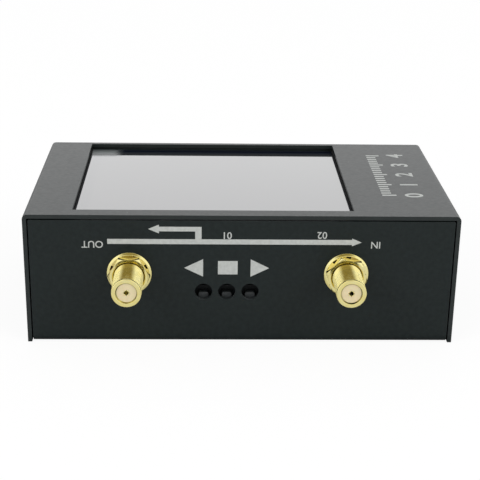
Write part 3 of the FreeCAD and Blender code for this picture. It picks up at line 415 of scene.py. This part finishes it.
# ---- seam strip ----
# A strip of thin black felt glued under the cover's rear edge. It closes the seam over the rear
# panel, so that no daylight shows through the screen's window.
felt_reach = 45.0
felt_span = (26.15, 26.95)
felt_heights = (28.62, 28.88)
felt_edge = 0.05
felt_finish = finish_of("black_felt", colours=((0.008, 0.008, 0.008, 1), (0.020, 0.020, 0.020, 1)),
                        grain=0.15, roughness=(0.9, 1.0), bump=0.05)
felt = bmesh.new()
bmesh.ops.create_cube(felt, size=1.0)
bmesh.ops.scale(felt, vec=(2 * felt_reach, felt_span[1] - felt_span[0], felt_heights[1] - felt_heights[0]),
                verts=felt.verts)
bmesh.ops.translate(felt, vec=(0, sum(felt_span) / 2, sum(felt_heights) / 2), verts=felt.verts)
soften(felt, felt_edge)
finished("seam_strip", felt, felt_finish, "case")

# ---- print on the connector panel ----
# Pale grey screen-printed ink: a signal arrow between the two ports with the reflected wave's
# arrow over it, marks for the three buttons, and lettering that reads from above the case.
ink_sunk, ink_proud = 0.004, 0.01             # of the layer of ink, below and above the sheet
arrow_left, arrow_right = -29.0, 23.65
arrow_middle, arrow_width = 23.82, 1.15
arrow_tip, arrow_head_half = 25.74, 0.9
echo_tip, echo_head, echo_head_half = -20.23, -17.9, 1.0
echo_middle, echo_width = 26.7, 1.05
echo_bar_left, echo_bar_right, echo_top = -10.15, -8.79, 27.23
key_middle, key_half_height = 17.75, 2.04
triangles = ((-12.54, -8.43), (5.89, 1.86))   # each one's tip and base
square_low, square_high = (-5.21, 16.25), (-0.95, 19.38)
panel_words = (("OUT", -32.2, 23.2), ("01", -3.35, 25.35), ("02", 17.15, 25.5), ("IN", 28.8, 23.3))
panel_letter_size, panel_bolder = 2.2, 0.02


def flat_outline(bm, corners):
    """A flat polygon in the XY plane, its corners given anticlockwise."""
    bm.faces.new([bm.verts.new((x, y, 0)) for x, y in corners])


def flat_box(bm, low, high):
    """A flat rectangle between two of its corners."""
    flat_outline(bm, (low, (high[0], low[1]), high, (low[0], high[1])))


def flat_word(bm, word, size, bolder, x, y, turn):
    """Flat lettering, its strokes widened a little, centred on a point and turned there."""
    curve = bpy.data.curves.new(word, "FONT")
    curve.body = word
    curve.size = size
    curve.offset = bolder
    curve.align_x = "CENTER"
    curve.align_y = "CENTER"
    carrier = bpy.data.objects.new(word, curve)
    letters = bpy.data.meshes.new_from_object(carrier)
    letters.transform(Matrix.Translation((x, y, 0)) @ Matrix.Rotation(turn, 4, "Z"))
    bm.from_mesh(letters)
    bpy.data.objects.remove(carrier)


def inked(bm, right, up, outwards, origin):
    """Gives flat shapes the ink's thickness and lays them on a face of the case."""
    bmesh.ops.remove_doubles(bm, verts=bm.verts, dist=merge_reach)
    raised = bmesh.ops.extrude_face_region(bm, geom=bm.faces[:], use_keep_orig=True)
    upper = [item for item in raised["geom"] if isinstance(item, bmesh.types.BMVert)]
    bmesh.ops.translate(bm, vec=(0, 0, ink_sunk + ink_proud), verts=upper)
    bmesh.ops.translate(bm, vec=(0, 0, -ink_sunk), verts=bm.verts)
    turned = Matrix((right, up, outwards)).transposed().to_4x4()
    bmesh.ops.transform(bm, matrix=Matrix.Translation(origin) @ turned, verts=bm.verts)
    bmesh.ops.recalc_face_normals(bm, faces=bm.faces)


ink = finish_of("pale_ink", colours=((0.50, 0.52, 0.50, 1), (0.58, 0.60, 0.58, 1)), grain=0.25,
                roughness=(0.5, 0.62), bump=0.006)
panel_print = bmesh.new()
arrow_low, arrow_high = arrow_middle - arrow_width / 2, arrow_middle + arrow_width / 2
echo_low = echo_middle - echo_width / 2
flat_outline(panel_print, (
    (arrow_left, arrow_low), (arrow_right, arrow_low), (arrow_right, arrow_middle - arrow_head_half),
    (arrow_tip, arrow_middle), (arrow_right, arrow_middle + arrow_head_half), (arrow_right, arrow_high),
    (echo_bar_right, arrow_high), (echo_bar_right, echo_top), (echo_head, echo_top),
    (echo_head, echo_middle + echo_head_half), (echo_tip, echo_middle),
    (echo_head, echo_middle - echo_head_half), (echo_head, echo_low), (echo_bar_left, echo_low),
    (echo_bar_left, arrow_high), (arrow_left, arrow_high)))
for key_tip, key_base in triangles:
    flat_outline(panel_print, ((key_tip, key_middle), (key_base, key_middle - key_half_height),
                               (key_base, key_middle + key_half_height)))
flat_box(panel_print, square_low, square_high)
for word, word_x, word_z in panel_words:
    flat_word(panel_print, word, panel_letter_size, panel_bolder, word_x, word_z, math.pi)
inked(panel_print, right=(1, 0, 0), up=(0, 0, 1), outwards=(0, -1, 0), origin=(0, panel_face, 0))
finished("panel_print", panel_print, ink, "case", crease=sharp_turn)

# ---- print on the cover ----
# A plain scale of numbered ticks in the same ink, along the strip to the right of the screen,
# to be read from the case's left side.
cover_top = 29.8
cover_ink_rise = 0.004            # of the ink's face over the cover's
scale_front, scale_step, scale_steps = -12.9, 1.5, 20
steps_per_number = 5
tick_left, long_tick, short_tick, tick_width = 31.8, 3.2, 2.2, 0.75
number_x, number_size, number_bolder = 39.2, 5.6, 0.13
cover_print = bmesh.new()
for step in range(scale_steps + 1):
    number, past_number = divmod(step, steps_per_number)
    tick_y = scale_front + step * scale_step
    tick_right = tick_left + (short_tick if past_number else long_tick)
    flat_box(cover_print, (tick_left, tick_y - tick_width / 2), (tick_right, tick_y + tick_width / 2))
    if not past_number:
        flat_word(cover_print, str(number), number_size, number_bolder, number_x, tick_y, math.pi / 2)
inked(cover_print, right=(1, 0, 0), up=(0, 1, 0), outwards=(0, 0, 1),
      origin=(0, 0, cover_top + cover_ink_rise - ink_proud))
finished("cover_print", cover_print, ink, "case", crease=sharp_turn)

# ---- case screws and press nuts ----
# Countersunk M2.5 machine screws, black oxide, with a cross recess: two through each wall of the
# cover into press nuts on the lips, and four through the floor into the standoffs.
screw_edge = 0.04
screw_finish = finish_of("black_oxide_screws", colours=((0.02, 0.02, 0.021, 1), (0.035, 0.034, 0.033, 1)),
                         grain=0.12, roughness=(0.28, 0.42), bump=0.004, marked=(0.28, 0.27, 0.26, 1),
                         marking=0.5, Metallic=0.6)
for screws in ("cover_screws", "base_screws", "display_screws"):
    rounded(screws, screws.replace("screws", "machine_screws"), screw_edge, screw_finish)


def dress(material, *names):
    """Gives CAD nodes whose shape is right their finish."""
    for name in names:
        for used in nodes[name].material_slots:
            used.material = material


zinc = finish_of("bright_zinc", colours=((0.52, 0.53, 0.55, 1), (0.62, 0.62, 0.60, 1)), grain=0.3,
                 roughness=(0.22, 0.38), bump=0.003, stretch=(1, 1, 6), Metallic=1.0)
dress(zinc, "lip_nuts")

# ---- standoffs and spacers ----
# Hexagonal brass bar, turned and tapped: the lower standoffs stand on the floor and their studs
# pass through the main board into the spacers that carry the display board.
bar_edge = 0.1
brass = finish_of("turned_brass", colours=((0.62, 0.44, 0.17, 1), (0.70, 0.52, 0.22, 1)), grain=0.2,
                  roughness=(0.18, 0.32), bump=0.003, stretch=(8, 8, 1), Metallic=1.0)
for bars in ("lower_standoffs", "upper_spacers"):
    rounded(bars, bars.replace("_", "_brass_"), bar_edge, brass)

# ---- touch glass and its tape ----
# The screen's front is a resistive touch panel: several layers of coated glass and film, which
# mirror strongly. The picture area under it is a little paler than its black printed border. Its
# coat is dull in the far left corner, and the pale grey there is a painted reflection of the bright
# room.
glass_index = 2.4
glass_coat_roughness = 0.012
picture_middle = (-5.0, 1.0)
picture_half = (28.8, 21.6)
picture_edge = 0.12
picture_colour = (0.030, 0.033, 0.040, 1)
border_colour = (0.009, 0.013, 0.027, 1)
glass_smoothest, glass_smeared = 0.015, 0.05
matt_corner = ((-28.4, -31.0), (19.2, 22.4))  # where the dull corner begins and is whole, on X and Y
matt_roughness = 0.45
# the dull corner's pale grey: a painted reflection of the bright room
matt_painted_reflection_colour = (0.125, 0.142, 0.142, 1)

glass = bpy.data.materials.new("touch_panel_glass")
glass.use_nodes = True
glass_tree = glass.node_tree
glass_bsdf = glass_tree.nodes["Principled BSDF"]
glass_bsdf.inputs["IOR"].default_value = glass_index
glass_bsdf.inputs["Coat Roughness"].default_value = glass_coat_roughness
glass_centred = counted(glass_tree, start=(*picture_middle, 0))
glass_from_middle = add_node(glass_tree, "SeparateXYZ", {0: glass_centred}).outputs
glass_place = add_node(glass_tree, "SeparateXYZ", {0: counted(glass_tree)}).outputs
glass_inside, glass_corner_share = 1.0, 1.0
for axis, half, (matt_begins, matt_whole) in zip("XY", picture_half, matt_corner):
    glass_away = add_node(glass_tree, "Math", {0: glass_from_middle[axis]}, operation="ABSOLUTE").outputs[0]
    glass_within = ramp(glass_tree, glass_away, half + picture_edge, half)
    glass_inside = times(glass_tree, glass_inside, glass_within)
    glass_corner_share = times(glass_tree, glass_corner_share, ramp(glass_tree, glass_place[axis], matt_begins, matt_whole))
glass_smear = noise(glass_tree, glass_centred, scale=0.09, detail=4.0)
glass_rough = ramp(glass_tree, glass_smear, low=0.4, high=0.7, at_low=glass_smoothest,
                   at_high=glass_smeared)
glass_rough = between(glass_tree, glass_corner_share, glass_rough, matt_roughness)
glass_coat = add_node(glass_tree, "Math", {0: 1.0, 1: glass_corner_share}, operation="SUBTRACT").outputs[0]
glass_tint = blended(glass_tree, glass_inside, border_colour, picture_colour)
# the dull corner takes a pale grey, a painted reflection of the bright room
glass_tint = blended(glass_tree, glass_corner_share, glass_tint, matt_painted_reflection_colour)
glass_tree.links.new(glass_tint, glass_bsdf.inputs["Base Color"])
glass_tree.links.new(glass_rough, glass_bsdf.inputs["Roughness"])
glass_tree.links.new(glass_coat, glass_bsdf.inputs["Coat Weight"])
dress(glass, "touch_glass")

black_tape = finish_of("black_tape", colours=((0.004, 0.004, 0.004, 1), (0.008, 0.008, 0.008, 1)), grain=0.2,
                       roughness=(0.7, 0.85), bump=0.01, stretch=(3, 1, 1), Specular_IOR_Level=0.1)
dress(black_tape, "window_tape", "battery_tape")

# ---- display cell, its frame and its foam ----
# A liquid-crystal cell between two polarising films lies in a moulded white tray with the
# backlight; two strips of black foam tape hold the tray on the display board.
cell_finish = finish_of("dark_polariser", colours=((0.016, 0.017, 0.022, 1), (0.021, 0.022, 0.027, 1)),
                        grain=2.0, roughness=(0.08, 0.14), Coat_Weight=0.6, Coat_Roughness=0.05)
tray_finish = finish_of("moulded_white_tray", colours=((0.70, 0.70, 0.69, 1), (0.76, 0.76, 0.74, 1)),
                        grain=0.8, roughness=(0.38, 0.5), bump=0.006, dust=0.3)
foam = finish_of("black_foam", colours=((0.014, 0.014, 0.015, 1), (0.045, 0.045, 0.045, 1)), grain=0.18,
                 roughness=(0.85, 0.98), bump=0.08)
dress(cell_finish, "lcd_cell")
dress(tray_finish, "lcd_frame")
dress(foam, "display_tape")

# ---- display board, main board ----
# Glass-fibre boards under green solder mask. The copper runs show through the mask as slightly
# raised, paler green lines, and tinned rings surround the plated holes.
mask_green, mask_light = (0.010, 0.105, 0.042, 1), (0.012, 0.125, 0.050, 1)
track_green = (0.022, 0.185, 0.075, 1)
via_tin = (0.55, 0.55, 0.52, 1)
track_pitch = 0.9
cross_pitch, track_width = 6.0, 0.12          # of the runs that cross and of each run, in pitches
track_height = 0.03
tracks_from = 0.42                # an area whose own shade is over this holds tracks
via_rim, via_core = 0.11, 0.09    # their distances from the middle of a cell
board_edge = 0.06

board_finish = finish_of("green_solder_mask", colours=(mask_green, mask_light), grain=1.2,
                         roughness=(0.2, 0.3), Coat_Weight=0.3, Coat_Roughness=0.12)
board_tree = board_finish.node_tree
board_bsdf = board_tree.nodes["Principled BSDF"]
board_scaled = counted(board_tree, track_pitch)
board_mortar = add_node(board_tree, "TexBrick", {
    "Vector": board_scaled, "Scale": 1.0, "Mortar Size": track_width, "Mortar Smooth": 0.3,
    "Brick Width": cross_pitch, "Row Height": 1.0}).outputs["Fac"]
board_areas = add_node(board_tree, "TexVoronoi", {"Vector": board_scaled, "Scale": 0.09}).outputs["Color"]
board_on = add_node(board_tree, "Math", {0: board_areas, 1: tracks_from}, operation="GREATER_THAN")
board_tracks = times(board_tree, board_mortar, board_on.outputs[0])
board_vias = add_node(board_tree, "TexVoronoi", {"Vector": board_scaled, "Scale": 0.45}).outputs["Distance"]
board_dots = ramp(board_tree, board_vias, via_rim, via_core)
board_base = board_bsdf.inputs["Base Color"].links[0].from_socket
board_runs = blended(board_tree, board_tracks, board_base, track_green)
board_tint = blended(board_tree, board_dots, board_runs, via_tin)
board_raised = add_node(board_tree, "Bump", {"Height": board_tracks, "Distance": track_height * mm})
board_tree.links.new(board_tint, board_bsdf.inputs["Base Color"])
board_tree.links.new(board_dots, board_bsdf.inputs["Metallic"])
board_tree.links.new(board_raised.outputs[0], board_bsdf.inputs["Normal"])
for board in ("display_board", "main_board"):
    rounded(board, board.replace("board", "circuit"), board_edge, board_finish)
dress(board_finish, "battery_board")

# ---- display ribbon and the boards' plastic connectors ----
# A polyimide film with parallel copper runs folds from the cell through the display board into a
# cream connector. A moulded black header, its socket and gilt pins join the two boards.
film_run_colour = (0.30, 0.10, 0.02, 1)
film_run_scale = 0.63             # of the wave, which then draws a run every half millimetre
film = finish_of("copper_ribbon_film", colours=((0.42, 0.20, 0.035, 1), (0.50, 0.25, 0.05, 1)), grain=1.0,
                 roughness=(0.22, 0.32), Coat_Weight=0.4)
film_tree = film.node_tree
film_bsdf = film_tree.nodes["Principled BSDF"]
film_runs = add_node(film_tree, "TexWave", {"Vector": counted(film_tree), "Scale": film_run_scale},
                     bands_direction="Y").outputs["Fac"]
film_base = film_bsdf.inputs["Base Color"].links[0].from_socket
film_tint = blended(film_tree, film_runs, film_base, film_run_colour)
film_tree.links.new(film_tint, film_bsdf.inputs["Base Color"])
dress(film, "display_ribbon")
cream = finish_of("cream_moulding", colours=((0.66, 0.60, 0.46, 1), (0.72, 0.66, 0.52, 1)), grain=0.5,
                  roughness=(0.35, 0.48), bump=0.008)
black_moulding = finish_of("black_moulding", colours=((0.003, 0.004, 0.005, 1), (0.006, 0.008, 0.009, 1)),
                           grain=0.25, roughness=(0.45, 0.6), bump=0.01, marked=(0.05, 0.05, 0.05, 1),
                           marking=0.3, Specular_IOR_Level=0.2)
dress(cream, "ribbon_connector", "battery_plug", "battery_header")
dress(black_moulding, "display_header", "display_socket")

# ---- chips, crystal, inductor, capacitors and shields ----
# Reflow-soldered parts: moulded epoxy chips on tinned legs, a metal-canned crystal, a sintered
# ferrite inductor, ceramic capacitors, and a folded tin can over each port's radio circuit.
chip_edge = 0.07
can_edge, can_segments = 0.15, 3
epoxy = finish_of("chip_epoxy", colours=((0.022, 0.022, 0.024, 1), (0.040, 0.040, 0.042, 1)), grain=0.12,
                  roughness=(0.5, 0.65), bump=0.01, marked=(0.09, 0.09, 0.09, 1), marking=0.3)
tin = finish_of("tin_plate", colours=((0.60, 0.60, 0.58, 1), (0.70, 0.70, 0.68, 1)), grain=0.4,
                roughness=(0.25, 0.42), bump=0.004, stretch=(5, 1, 1), Metallic=1.0)
ferrite = finish_of("sintered_ferrite", colours=((0.06, 0.06, 0.062, 1), (0.11, 0.11, 0.11, 1)), grain=0.1,
                    roughness=(0.6, 0.8), bump=0.02)
ceramic = finish_of("capacitor_ceramic", colours=((0.42, 0.29, 0.17, 1), (0.52, 0.38, 0.24, 1)), grain=0.3,
                    roughness=(0.35, 0.5), bump=0.004)
for chips in ("processor_chip", "synthesizer_chips"):
    rounded(chips, chips.replace("chip", "package"), chip_edge, epoxy)
for can in ("left_shield", "right_shield", "crystal"):
    rounded(can, can + "_can", can_edge, tin, segments=can_segments)
dress(tin, "processor_legs")
dress(ferrite, "power_inductor")
dress(ceramic, "board_capacitors")

# ---- push buttons ----
# Three edge-mounted tactile switches. A square moulded stem with a rounded nose slides in the
# housing against a domed steel snap disc, a quarter of a millimetre in all.
housing_edge, stem_edge = 0.12, 0.06
stem_finish = finish_of("stem_moulding", colours=((0.022, 0.026, 0.028, 1), (0.031, 0.036, 0.038, 1)),
                        grain=0.2, roughness=(0.4, 0.52), bump=0.006)
dome_finish = finish_of("dome_steel", colours=((0.50, 0.50, 0.49, 1), (0.60, 0.60, 0.58, 1)), grain=0.15,
                        roughness=(0.2, 0.32), Metallic=1.0)
for side in ("left", "middle", "right"):
    rounded(side + "_switch_body", side + "_switch_housing", housing_edge, black_moulding)
    rounded(side + "_button", side + "_button_stem", stem_edge, stem_finish,
            body=side + "_button")
dress(dome_finish, "switch_domes")

# ---- coaxial connectors ----
# A brass body with a 1/4-36 thread, gold plated, soldered to the board's edge by four legs. The
# smooth ring at its end surrounds a shallow mouth in front of the core, whose floor is painted dark
# bronze as shade.
ports = (("left", -24.4), ("right", 22.7))    # and where their axes stand
axis_z = 16.45
thread_radius = 3.175
thread_pitch = 0.7056
thread_depth = 0.40
thread_sides = 80
# one turn of the thread's outline: its height from the crest, and how far through the turn
thread_profile = ((-thread_depth, 0.0), (-thread_depth, 0.18), (0.0, 0.52), (0.0, 0.66))
spare_turns = 3                   # cut off square at the thread's ends
thread_back, thread_front, barrel_tip = -28.0, -37.35, -38.0
bore_radius, bore_sides = 2.10, 64
mouth_radius, mouth_floor = 2.30, -37.7
tip_radius, tip_neck_radius, tip_neck = 3.145, 3.055, -37.45
tip_break, mouth_break = 0.12, 0.03
tip_profile = ((bore_radius, thread_front), (tip_neck_radius, thread_front), (tip_radius, tip_neck),
               (tip_radius, barrel_tip + tip_break), (tip_radius - tip_break, barrel_tip),
               (mouth_radius + mouth_break, barrel_tip), (mouth_radius, barrel_tip + mouth_break),
               (mouth_radius, mouth_floor), (bore_radius, mouth_floor))
seam_reach, cut_reach = 0.002, 0.0001
same_plane = 0.01
gold_colour = (0.99, 0.86, 0.33, 1)
gold_light = (1.0, 0.91, 0.43, 1)
hollow_painted_shade = (0.035, 0.028, 0.008, 1)      # painted shade on the mouth's floor and the contact's drilled end

plating = {"colours": (gold_colour, gold_light), "grain": 0.5, "roughness": (0.09, 0.16), "bump": 0.002,
           "Metallic": 1.0}
gold = finish_of("gold_plate", stretch=(6, 1, 6), **plating)
contact_gold = finish_of("contact_gold", marked=hollow_painted_shade, marking=1.0, **plating)


def ring_edges(bm, y):
    """The open edges that lie in the plane at y."""
    return [e for e in bm.edges if e.is_boundary and all(abs(v.co.y - y) < seam_reach for v in e.verts)]


def cut_square(bm, y, outwards):
    """Takes off what lies past the plane at y."""
    bmesh.ops.bisect_plane(bm, geom=bm.verts[:] + bm.edges[:] + bm.faces[:], dist=cut_reach,
                           plane_co=(0, y, 0), plane_no=(0, outwards, 0), clear_outer=True)


def threaded_sleeve(x):
    """The screw thread round a connector's axis, with its smooth bore."""
    bm = bmesh.new()
    turns = math.ceil((thread_back - thread_front) / thread_pitch) + spare_turns
    line = []
    for turn in range(turns):
        for depth, share in thread_profile:
            along = thread_back + thread_pitch - (turn + share) * thread_pitch
            line.append(bm.verts.new((x + thread_radius + depth, along, axis_z)))
    edges = [bm.edges.new(pair) for pair in zip(line, line[1:])]
    bmesh.ops.spin(bm, geom=line + edges, cent=(x, 0, axis_z), axis=(0, -1, 0), angle=2 * math.pi,
                   dvec=(0, -thread_pitch / thread_sides, 0), steps=thread_sides)
    bmesh.ops.remove_doubles(bm, verts=bm.verts, dist=seam_reach)
    cut_square(bm, thread_back, 1)
    cut_square(bm, thread_front, -1)
    rims = []
    for y in (thread_back, thread_front):
        outer = ring_edges(bm, y)
        turned = Matrix.Translation((x, y, axis_z)) @ Matrix.Rotation(math.pi / 2, 4, "X")
        circle = bmesh.ops.create_circle(bm, segments=bore_sides, radius=bore_radius, matrix=turned)
        inner = list({e for v in circle["verts"] for e in v.link_edges})
        bmesh.ops.triangle_fill(bm, edges=outer + inner, use_beauty=True)
        rims.extend(inner)
    bmesh.ops.bridge_loops(bm, edges=rims)
    return bm


def spun_ring(x, profile, sides):
    """A closed ring turned about a connector's axis from (radius, y) points."""
    bm = bmesh.new()
    points = [bm.verts.new((x + radius, y, axis_z)) for radius, y in profile]
    edges = [bm.edges.new(pair) for pair in zip(points, points[1:] + points[:1])]
    bmesh.ops.spin(bm, geom=points + edges, cent=(x, 0, axis_z), axis=(0, 1, 0), angle=2 * math.pi,
                   steps=sides, use_merge=True)
    return bm


def soldered_tail(side):
    """The part of a connector behind its thread, closed again where it is cut off."""
    bm = cad_copy(side + "_connector")
    cut_square(bm, thread_back, -1)
    bmesh.ops.bridge_loops(bm, edges=ring_edges(bm, thread_back))
    return bm


def joined(parts):
    """One shape from closed parts, each with its faces turned outwards."""
    whole = bmesh.new()
    for part in parts:
        bmesh.ops.recalc_face_normals(part, faces=part.faces)
        if part.calc_volume(signed=True) < 0:
            bmesh.ops.reverse_faces(part, faces=part.faces)
        part_mesh = bpy.data.meshes.new("part")
        part.to_mesh(part_mesh)
        part.free()
        whole.from_mesh(part_mesh)
        bpy.data.meshes.remove(part_mesh)
    return whole


def from_axis(point, x):
    """How far a point is from a connector's axis."""
    return math.hypot(point.x - x, point.z - axis_z)


for side, axis_x in ports:
    connector = joined((threaded_sleeve(axis_x), spun_ring(axis_x, tip_profile, thread_sides),
                        soldered_tail(side)))
    # the floor of the mouth takes dark bronze: painted shade in the hollow
    rub(connector, full_mark, lambda way, middle: abs(middle.y - mouth_floor) < same_plane
        and from_axis(middle, axis_x) < mouth_radius)
    finished(side + "_coaxial_body", connector, contact_gold, "case", (side + "_connector",),
             crease=sharp_turn)

# ---- connector cores ----
# A turned core of cream fluoropolymer in each connector's bore, and through it a gilt contact,
# drilled and slit at its front end to grip the plug's pin.
contact_bore_radius = 0.5
insulator_finish = finish_of("turned_fluoropolymer", colours=((0.83, 0.70, 0.43, 1), (0.88, 0.76, 0.48, 1)),
                             grain=0.3, roughness=(0.42, 0.55), bump=0.004, Subsurface_Weight=0.1,
                             Subsurface_Scale=0.3 * mm)
for side, axis_x in ports:
    contact = cad_copy(side + "_contact")
    # the contact's drilled and slit front end takes dark bronze: painted shade in the hole
    rub(contact, full_mark, lambda way, middle: from_axis(middle, axis_x) < contact_bore_radius)
    finished(side + "_centre_contact", contact, contact_gold, "case", (side + "_contact",),
             crease=sharp_turn)
    dress(insulator_finish, side + "_insulator")
dress(gold, "display_pins")

# ---- lock washers and nuts ----
# A gilt washer whose teeth are sprung towards the nut, slit apart in a press, and a chamfered
# hexagon nut over it, with worn edges and its flats painted dark bronze as a painted reflection of
# the dark panel. Together they clamp the connector's thread.
slope_turn = math.radians(18)
washer_edge, nut_edge = 0.05, 0.09
slit_corner, slit_corner_reach = 4.15, 0.05
slit_wear = 0.11                  # the slits are torn open so much further
nut_flat_reach = 3.9              # what lies further from the axis is a flat
nut_flat_slope = 0.05
nut_wear_and_painted_reflection = (0.30, 0.17, 0.06, 1)
nut_gold = finish_of("nut_gold", marked=nut_wear_and_painted_reflection, marking=0.9, **plating)
for side, axis_x in ports:
    washer = cad_copy(side + "_washer")
    for corner in washer.verts:
        away = Vector((corner.co.x - axis_x, 0, corner.co.z - axis_z))
        if abs(away.length - slit_corner) < slit_corner_reach:
            corner.co += away.normalized() * slit_wear
    soften(washer, washer_edge, turn=slope_turn)
    finished(side + "_washer_ring", washer, gold, "case", (side + "_washer",))
    nut = cad_copy(side + "_nut")
    soften(nut, nut_edge, turn=slope_turn)
    # the nut's flats take dark bronze: a painted reflection of the dark panel
    rub(nut, full_mark, lambda way, middle: abs(way.y) < nut_flat_slope
        and from_axis(middle, axis_x) > nut_flat_reach)
    finished(side + "_nut_ring", nut, nut_gold, "case", (side + "_nut",))

# ---- power switch ----
# A slide switch at the board's rear edge: a folded steel frame round a black moulded base, and a
# carriage whose ribbed knob reaches out through a slot in the rear panel.
knob_middle, knob_end, knob_edge = -12.0, 28.4, 0.04
groove_width, groove_depth = 0.24, 0.2
groove_places = (-2, 0, 2)        # in groove widths from the knob's middle
groove_ends = (17.35, 18.15)      # they stop short of the knob's chamfer
dress(zinc, "slide_switch_frame")
dress(black_moulding, "slide_switch_base")
knob = cad_copy("power_slider")


def knob_end_faces():
    """The flat faces of the knob's outer end."""
    return [f for f in knob.faces
            if f.normal.y > looks_along and abs(f.calc_center_median().y - knob_end) < same_plane]


def in_groove(middle):
    """True for the middle of a face that a groove sinks."""
    from_knob = (middle.x - knob_middle) / groove_width
    near = any(abs(from_knob - place) * groove_width < same_plane for place in groove_places)
    return near and groove_ends[0] < middle.z < groove_ends[1]


groove_sides = [place + half for place in groove_places for half in (-0.5, 0.5)]
knob_cuts = [((1, 0, 0), knob_middle + edge * groove_width) for edge in groove_sides]
for across, place in knob_cuts + [((0, 0, 1), end) for end in groove_ends]:
    cut_faces = knob_end_faces()
    cut_edges = list({e for f in cut_faces for e in f.edges})
    cut_verts = list({v for f in cut_faces for v in f.verts})
    bmesh.ops.bisect_plane(knob, geom=cut_faces + cut_edges + cut_verts, dist=merge_reach,
                           plane_co=Vector(across) * place, plane_no=across)
grooves = [face for face in knob_end_faces() if in_groove(face.calc_center_median())]
sunk = bmesh.ops.extrude_discrete_faces(knob, faces=grooves)
bmesh.ops.translate(knob, vec=(0, -groove_depth, 0), verts=list({v for f in sunk["faces"] for v in f.verts}))
bmesh.ops.recalc_face_normals(knob, faces=knob.faces)
soften(knob, knob_edge)
finished("power_slider_knob", knob, black_moulding, "power_slider", ("power_slider",))

# ---- charging port ----
# A USB-C receptacle: a drawn steel shell round a moulded tongue, with twelve gilt contacts on
# each face of the tongue.
shell_edge = 0.06
contact_pitch = 0.5
contact_size = (0.25, 3.2, 0.03)
contacts_each_face = 12
contact_setback = 0.6             # from the tongue's rear end
contact_sunk = 0.01
rounded("usb_shell", "usb_steel_shell", shell_edge, zinc)
dress(black_moulding, "usb_tongue")
tongue_low, tongue_high = (Vector(corner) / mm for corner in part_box("usb_tongue"))
contact_rise = contact_size[2] / 2 - contact_sunk
first_contact_x = (tongue_low.x + tongue_high.x) / 2 - (contacts_each_face - 1) / 2 * contact_pitch
contact_y = tongue_high.y - contact_setback - contact_size[1] / 2
contacts = bmesh.new()
for contact_z in (tongue_low.z - contact_rise, tongue_high.z + contact_rise):
    for index in range(contacts_each_face):
        contact_place = Vector((first_contact_x + index * contact_pitch, contact_y, contact_z))
        contact_shape = Matrix.LocRotScale(contact_place, None, Vector(contact_size))
        bmesh.ops.create_cube(contacts, size=1.0, matrix=contact_shape)
finished("usb_contacts", contacts, gold, "case", crease=sharp_turn)

# ---- battery, its tape and its leads ----
# A flat lithium pouch cell: laminated foil, heat sealed and faintly creased, with a protection
# board at its end. Two silicone leads run up to a cream plug on the main board.
pouch_edge, pouch_segments = 0.3, 3
foil = finish_of("laminated_foil", colours=((0.56, 0.57, 0.58, 1), (0.66, 0.67, 0.68, 1)), grain=2.5,
                 roughness=(0.24, 0.4), bump=0.12, Metallic=0.9)
red_lead = finish_of("red_silicone", colours=((0.50, 0.018, 0.012, 1), (0.58, 0.028, 0.020, 1)), grain=0.3,
                     roughness=(0.45, 0.58), bump=0.004)
black_lead = finish_of("black_silicone", colours=((0.012, 0.012, 0.012, 1), (0.024, 0.024, 0.024, 1)),
                       grain=0.3, roughness=(0.45, 0.58), bump=0.004)
rounded("battery", "battery_pouch", pouch_edge, foil, segments=pouch_segments)
dress(red_lead, "red_wire")
dress(black_lead, "black_wire")
